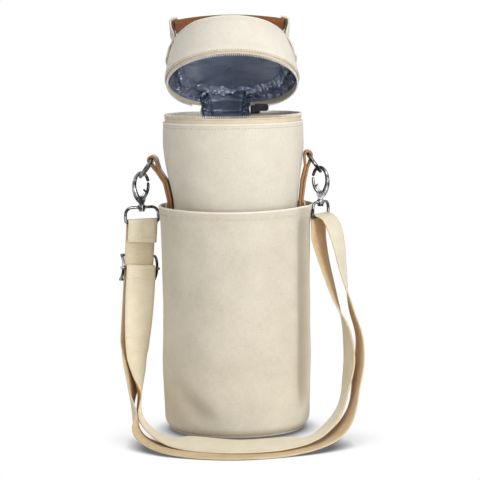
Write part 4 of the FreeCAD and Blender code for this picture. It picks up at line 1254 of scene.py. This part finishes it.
def handle_leg(name, side, width_way):
    """A canvas leg folded over one end of the handle, a dark sheet of painted shade inside it, and its row
    of stitches.
    """
    top = RIM_Z + LID_H
    half = LEG_T / 2
    over_z = top + HANDLE_END_H + HANDLE_T / 2 + half + SKIN_GAP
    points = [(LID_SIDE[3][0] + half + 0.7, RIM_Z + LEG_FOOT_H),
              (LID_SIDE[4][0] + half + 0.5, RIM_Z + LID_SIDE[4][1]), (LID_TOP_R - 0.4, top + 3),
              (HANDLE_END_X + 4.0, over_z), (HANDLE_END_X - 2.5, over_z + 1.3)]
    bends = rounded([(x * side, 0, z) for x, z in points], [14.0, 14.0, 3.0])
    path = [(on_lid(p), width_way) for p in filled(bends, 1.5)]
    leg = band(name + "_handle_canvas", path, HANDLE_W, LEG_T, CANVAS_BODY, soft=hugging)
    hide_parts(name + "_handle_leg")
    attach(leg, "lid")
    # painted shade: a dark canvas sheet inside the leg, where the leg's inside lies in shade
    inside = [((LID_TOP_R - 3.2) * side, 0, top + 3.5), ((HANDLE_END_X + 2.1) * side, 0, over_z - 3.4)]
    inner = [(on_lid(p), width_way) for p in filled([Vector(p) for p in inside], 2.0)]
    shade_sheet = band(name + "_handle_painted_shade", inner, HANDLE_W - 2, 0.7, CANVAS_SHADE)
    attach(shade_sheet, "lid")
    path_length(path)
    row_x = (HANDLE_END_X - 0.5) * side
    row_z = over_z + 0.75 + half + 0.1
    row = [on_lid(Vector((row_x, y, row_z))) for y in (-10.5, -5, 0, 5, 10.5)]
    stitches(name + "_handle_stitches", [row], PATCH_STITCH, THREAD, "lid", LID_AXIS)


# ---------------------------------------------------------------- tabs

def tab_path(towards, loop_x, loop_z):
    """Bends of a leather tab from its foot up over the ring's bar and down, and how far out it ends."""
    sunk = waist_dent(math.radians(towards), 200)
    inner_x = BODY_WAIST_R + 0.8 + LEATHER / 2 - sunk
    outer_x = inner_x + LEATHER + SKIN_GAP
    hug_x = BODY_WAIST_R * 0.64 + BODY_FULL_R * 0.36 + 0.6 + LEATHER / 2 - sunk * 0.5
    hug_out_x = hug_x + LEATHER + 0.6
    bend_r = RING_WIRE_R + 0.5 + LEATHER / 2
    lean = math.atan2(loop_x - hug_out_x, loop_z - TAB_LEAVE_Z)
    across = Vector((math.cos(lean), 0, -math.sin(lean)))
    along = Vector((math.sin(lean), 0, math.cos(lean)))
    loop = Vector((loop_x, 0, loop_z))
    neck = loop - along * TAB_NECK
    half = (LEATHER + SKIN_GAP) / 2
    points = [(inner_x, 0, TAB_FOOT_Z), (inner_x, 0, TAB_BEND_Z), (hug_x, 0, TAB_LEAVE_Z)]
    points += [neck - across * half]
    points += [loop - across * bend_r - along * 2.0, loop - across * bend_r + along * bend_r]
    points += [loop + across * bend_r + along * bend_r, loop + across * bend_r - along * 2.0]
    points += [neck + across * half]
    points += [(hug_out_x, 0, TAB_LEAVE_Z), (outer_x, 0, TAB_BEND_Z), (outer_x, 0, TAB_FOOT_Z)]
    tight = bend_r - 0.02
    bends = rounded(points, [9.0, 6.0, 5.0, 5.0, tight, tight, 5.0, 5.0, 6.0, 9.0])
    return bends, outer_x


def tab_pieces():
    """Leather tabs that hold the rings, and the canvas patches over their feet."""
    for name, (towards, loop_x, loop_z) in TABS.items():
        turn = Matrix.Rotation(math.radians(towards), 3, "Z")
        width_way = turn @ BACK
        bends, outer_x = tab_path(towards, loop_x, loop_z)
        path = [(turn @ p, width_way) for p in filled(bends, 1.5)]
        tab = band(name + "_tab_leather", path, TAB_W, LEATHER, LEATHER_TAB, edge=0.15)
        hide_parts(name + "_ring_tab")
        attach(tab, "bag")

        patch_x = outer_x + LEATHER / 2 + SKIN_GAP + PATCH_T / 2
        high = SLEEVE_Z + PATCH_RISE
        low = high - PATCH_H
        heights = [low + (high - low) * k / 10 for k in range(11)]
        patch_path = [(turn @ Vector((patch_x, 0, z)), width_way) for z in heights]
        patch = band(name + "_tab_canvas", patch_path, TAB_W + 4, PATCH_T, CANVAS_EDGE)
        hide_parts(name + "_tab_patch")
        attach(patch, "bag")
        rows = []
        for y in (-TAB_W / 2 + 0.4, TAB_W / 2 - 0.4):
            rows.append([turn @ Vector((patch_x + 0.7, y, z)) for z in (low + 2, low + 12, high - 2)])
        rows.append([turn @ Vector((patch_x + 0.7, y, high - 2)) for y in (-TAB_W / 2, 0, TAB_W / 2)])
        stitches(name + "_tab_stitches", rows, PATCH_STITCH, THREAD, "bag")


# ---------------------------------------------------------------- strap

def direction(degrees):
    """A level direction, turned from the bag's right."""
    return polar(1, math.radians(degrees))


def glide(stations, steps):
    """Stations filled in smoothly between the given ones."""
    middles, widths = zip(*stations)
    return list(zip(eased(middles, steps), eased(widths, steps)))


def over_bar(bar, near_side, width, radius, last=180, top=UP, count=17):
    """Stations of a webbing that turns over a bar, from the near side across the top."""
    turn = []
    for i in range(count):
        angle = math.radians(last * i / (count - 1))
        turn.append((bar + near_side * (radius * math.cos(angle)) + top * (radius * math.sin(angle)), width))
    return turn


# Lines of the strap in millimetres. At the left the rear layer comes up behind the adjuster, turns over
# the eye's bar and ends; the front layer is sewn round the adjuster's bar.
LEFT_BAR = SWIVELS["left"] - UP * EYE_DROP
RIGHT_BAR = SWIVELS["right"] - UP * EYE_DROP
LEFT_WAY = direction(EYE_TURN["left"] - 180)
RIGHT_WAY = direction(EYE_TURN["right"])
FRONT = HANG.cross(LEFT_WAY).normalized()
ACROSS = (LEFT_WAY - HANG * LEFT_WAY.dot(HANG)).normalized()
REAR_LINE = LEFT_BAR - FRONT * LOOP_R
END_LINE = LEFT_BAR + FRONT * LOOP_R
BAR_DEPTH = ADJ_LOOP_R + STRAP_GAP + STRAP_T - LOOP_R
ADJ_BAR = LEFT_BAR + HANG * ((LEFT_BAR.z - ADJ_Z) / -HANG.z) + FRONT * BAR_DEPTH
FRONT_LINE = ADJ_BAR + FRONT * ADJ_LOOP_R
SEAM = FRONT_LINE + HANG * 62.0
TAIL = 15.0             # how far the sewn end hangs below the adjuster's bar
END = 18.0              # and the other end below the left eye's bar
LOOP_ROW = 8.5          # the rows of stitches, below the same bars
END_ROW = 13.2
PALE_RUN = 75.0         # the last length of the strap, where its back face has little painted shade

# Turns of the front layer below the adjuster: how far down, and by how many degrees
SEWN_TWIST = ((26, 0.5), (32, 2), (40, 4.5), (48, 8), (56, 12), (62, 15.5))

# Stations of the upper layer in front: middle and width direction, from the seam to the right eye
UPPER_LAYER = [
    (SEAM, direction(39.5)),
    (SEAM + HANG * 9, direction(45.5)),
    ((-90, -8, 62), (0.5, 0.86, 0)),
    ((-88.5, -23, 41), (0.05, 1, 0)),
    ((-85, -46, 23), (-0.25, 1, 0)),
    ((-70, -77, 10), (0.3, 0.9, -0.2)),
    ((-44, -102, 6.5), (0, 0.98, 0.2)),
    ((0, -119, 5.6), (0, 0.978, 0.21)),
    ((44, -108, 6.5), (0, 0.98, 0.15)),
    ((73, -84, 11), (-0.3, 0.9, -0.2)),
    ((92, -51, 30), BACK),
    ((100, -28, 58), (-0.25, 1, 0)),
    ((98.5, -14, 88), (-0.2, 1, 0)),
    ((89.5, -5, 116), BACK * 0.7 + RIGHT_WAY * 0.3),
    ((80, -0.5, 150), BACK * 0.3 + RIGHT_WAY * 0.7),
    ((75.5, 0.8, 171), RIGHT_WAY),
]

# and of the lower layer, from the right eye back to the left
LOWER_LAYER = [
    ((84.5, -2.4, 189), RIGHT_WAY),
    ((89.5, -3.6, 180), RIGHT_WAY),
    ((93.5, -4.4, 164), RIGHT_WAY * 0.8 + BACK * 0.2),
    ((97.5, -6, 138), RIGHT_WAY * 0.4 + BACK * 0.6),
    ((103, -10, 110), (-0.1, 1, 0)),
    ((109.5, -20, 84), (-0.15, 1, 0)),
    ((107.8, -37, 56), (-0.2, 1, 0)),
    ((100.0, -62, 28), (-0.05, 1, 0)),
    ((81, -97, 8), (-0.35, 0.9, -0.1)),
    ((48, -121, 1.6), BACK),
    ((0, -135, 1), BACK),
    ((-46, -122, 1.6), BACK),
    ((-73, -97, 5), (0.35, 0.9, -0.1)),
    ((-87, -66, 15), (-0.25, 1, 0)),
    ((-94, -39, 34), BACK),
    ((-93.5, -8, 60), (0.5, 0.86, 0)),
    (REAR_LINE + HANG * 113, direction(31)),
    (REAR_LINE + HANG * 104, LEFT_WAY),
    (REAR_LINE + HANG * 90, LEFT_WAY),
]


def sewn_stations():
    """The short run, from its tail round the adjuster's bar and down to the seam."""
    tail = ADJ_BAR - FRONT * ADJ_LOOP_R + HANG * TAIL
    stations = [(tail, ACROSS), (tail - HANG * 8.0, ACROSS)]
    stations += over_bar(ADJ_BAR, -FRONT, ACROSS, ADJ_LOOP_R, 180, -HANG)
    stations += [(FRONT_LINE + HANG * reach, ACROSS) for reach in (4, 9, 14, 20)]
    stations += [(FRONT_LINE + HANG * reach, direction(24 + twist)) for reach, twist in SEWN_TWIST]
    return stations


def long_stations():
    """The long run, from the seam over the right eye, back under itself and over the left eye."""
    turn = over_bar(RIGHT_BAR, UP.cross(RIGHT_WAY), RIGHT_WAY, LOOP_R, 120)
    stations = glide(UPPER_LAYER, 9) + turn[:-1] + glide(turn[-1:] + LOWER_LAYER, 9)
    stations += [(REAR_LINE + HANG * reach, LEFT_WAY) for reach in (50, 6)]
    stations += over_bar(LEFT_BAR, -FRONT, LEFT_WAY, LOOP_R)
    end = END_LINE + HANG * END
    return stations + [(end - HANG * 9, LEFT_WAY), (end, LEFT_WAY)]


def strap_pieces():
    """The webbing in two runs that meet at the seam, and its two rows of stitches."""
    sewn = sewn_stations()
    sewn_run = band("strap_sewn_loop", sewn, STRAP_W, STRAP_T, WEBBING)
    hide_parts("strap_sewn_run")
    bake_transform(sewn_run)
    path_length(sewn)

    run = long_stations()
    begin = path_length(sewn) / MM
    strap = band("strap_main", run, STRAP_W, STRAP_T, WEBBING, begin=begin, pale=PALE_RUN)
    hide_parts("strap_webbing")
    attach(strap, "bag")
    path_length(run)

    lift = FRONT * (STRAP_T / 2 + 0.3)
    rows = (("strap_end_stitches", END_LINE + HANG * END_ROW, LEFT_WAY, "bag"),
            ("strap_loop_stitches", FRONT_LINE + HANG * LOOP_ROW, ACROSS, "adjuster"))
    for name, middle, width_way, body in rows:
        row = [middle + lift + width_way * (w * (STRAP_W / 2 - 1.5)) for w in (-1, -0.5, 0, 0.5, 1)]
        stitches(name, [row], STRAP_STITCH, THREAD_WHITE, body)


# ---------------------------------------------------------------- metal and board

def gate_springs():
    """The leaf in each hook, which bends from the claw to its gate."""
    for name, swivel in SWIVELS.items():
        turn = Matrix.Rotation(math.radians(TABS[name][0]), 3, "Z")
        marks = rounded([(1.2, 0, 8.1), (-0.4, 0, 8.2), (-2.1, 0, 11.0)], [1.5])
        bends = [(swivel + turn @ p, turn @ BACK) for p in filled(marks, 0.4)]
        leaf = band(name + "_spring_leaf", bends, 2.0, 0.35, NICKEL)
        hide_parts(name + "_gate_spring")
        low, high = (swivel + turn @ Vector(p) for p in ((-0.2, 0, 8.2), (-1.5, 0, 10.0)))
        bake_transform(leaf)


def dress_metal():
    """Finishes for the rigid pieces that keep their own shape."""
    finishes = {"nickel": NICKEL, "dark_metal": DARK, "board": BOARD}
    for record in frame["record"]["subparts"]:
        material = finishes.get(record["material_slot"])
        if material:
            mesh = frame["nodes"][record["node"]].data
            mesh.materials.clear()
            mesh.materials.append(material)


# ---------------------------------------------------------------- studio

def floor():
    """Pale floor: white to the eye and in reflections, darker where the object keeps the light off it."""
    f = Finish("studio_floor")
    soft = f.span(f.openness(0.06, 24), 0.2, 0.82, 0.56, 1.0)
    tight = f.span(f.openness(0.02, 24), 0.25, 0.85, 0.25, 1.0)
    grain = f.span(f.noise(f.place(), 60, 3.0), 0.3, 0.7, 0.997, 1.0)
    level = f.maths("MULTIPLY", f.maths("MULTIPLY", soft, tight), grain)
    white = f.add("ShaderNodeEmission", {"Color": (1, 1, 1, 1), "Strength": level})
    f.set(Base_Color=(0.82, 0.82, 0.82, 1.0), Roughness=0.9)
    both = f.add("ShaderNodeMixShader", {"Fac": f.seen(), 1: f.skin.outputs[0], 2: white.outputs[0]})
    f.put(f.out.inputs["Surface"], both.outputs[0])
    mesh = bpy.data.meshes.new("studio_floor")
    corners = [(-1, -1), (1, -1), (1, 1), (-1, 1)]
    mesh.from_pydata([(x * FLOOR_SIZE, y * FLOOR_SIZE, FLOOR_Z_M) for x, y in corners], [], [(0, 1, 2, 3)])
    mesh.materials.append(f.material)
    added("studio_floor", mesh)


def sky():
    """White to the eye, and a dim light for everything else."""
    world = bpy.data.worlds.new("studio")
    bpy.context.scene.world = world
    world.use_nodes = True
    f = Nodes(world.node_tree)
    back = f.tree.nodes["Background"]
    f.put(back.inputs["Strength"], f.span(f.seen(), 0.0, 1.0, WORLD_LIGHT, 1.0))
    f.put(back.inputs["Color"], (1.0, 1.0, 1.0, 1.0))


def lamp(name, at, aim, size, power):
    """A round lamp, in metres and watts."""
    data = bpy.data.lights.new(name, "AREA")
    data.shape = "DISK"
    data.size = size
    data.energy = power
    obj = added(name, data)
    obj.location = at
    obj.rotation_euler = (Vector(aim) - Vector(at)).to_track_quat("-Z", "Y").to_euler()


def studio():
    """Floor, sky and five lamps."""
    floor()
    sky()
    lamp("key", (1.35, -1.55, 0.85), (0, 0, 0.18), 0.8, 21.0)
    lamp("fill", (-1.9, -0.3, 0.7), (0, 0, 0.18), 1.0, 4.5)
    lamp("bounce", (0.45, -1.5, 0.04), (0, 0, 0.2), 0.7, 6.0)
    lamp("back", (0.3, 1.8, 0.9), (0, 0, 0.18), 1.0, 9.0)
    lamp("top", (-0.1, -0.7, 1.9), (0, 0, 0.25), 1.0, 8.0)
    bpy.context.scene.view_settings.view_transform = "Standard"


def camera():
    """The photo's view, slightly rolled."""
    data = bpy.data.cameras.new("camera")
    cam = added("camera", data)
    at = Vector((VIEW_AIM.x, -VIEW_DISTANCE, VIEW_HEIGHT))
    look = VIEW_AIM - at
    turn = look.to_track_quat("-Z", "Y").to_matrix().to_4x4()
    cam.matrix_world = Matrix.Translation(at) @ turn @ Matrix.Rotation(-VIEW_ROLL, 4, "Z")
    data.lens = data.sensor_width * look.length / VIEW_WIDTH
    bpy.context.scene.camera = cam


camera()
studio()
dress_metal()
gate_springs()
strap_pieces()
body_pieces()
sleeve_pieces()
base_pieces()
zip_pieces()
hinge_pieces()
lid_pieces()
handle_pieces()
tab_pieces()
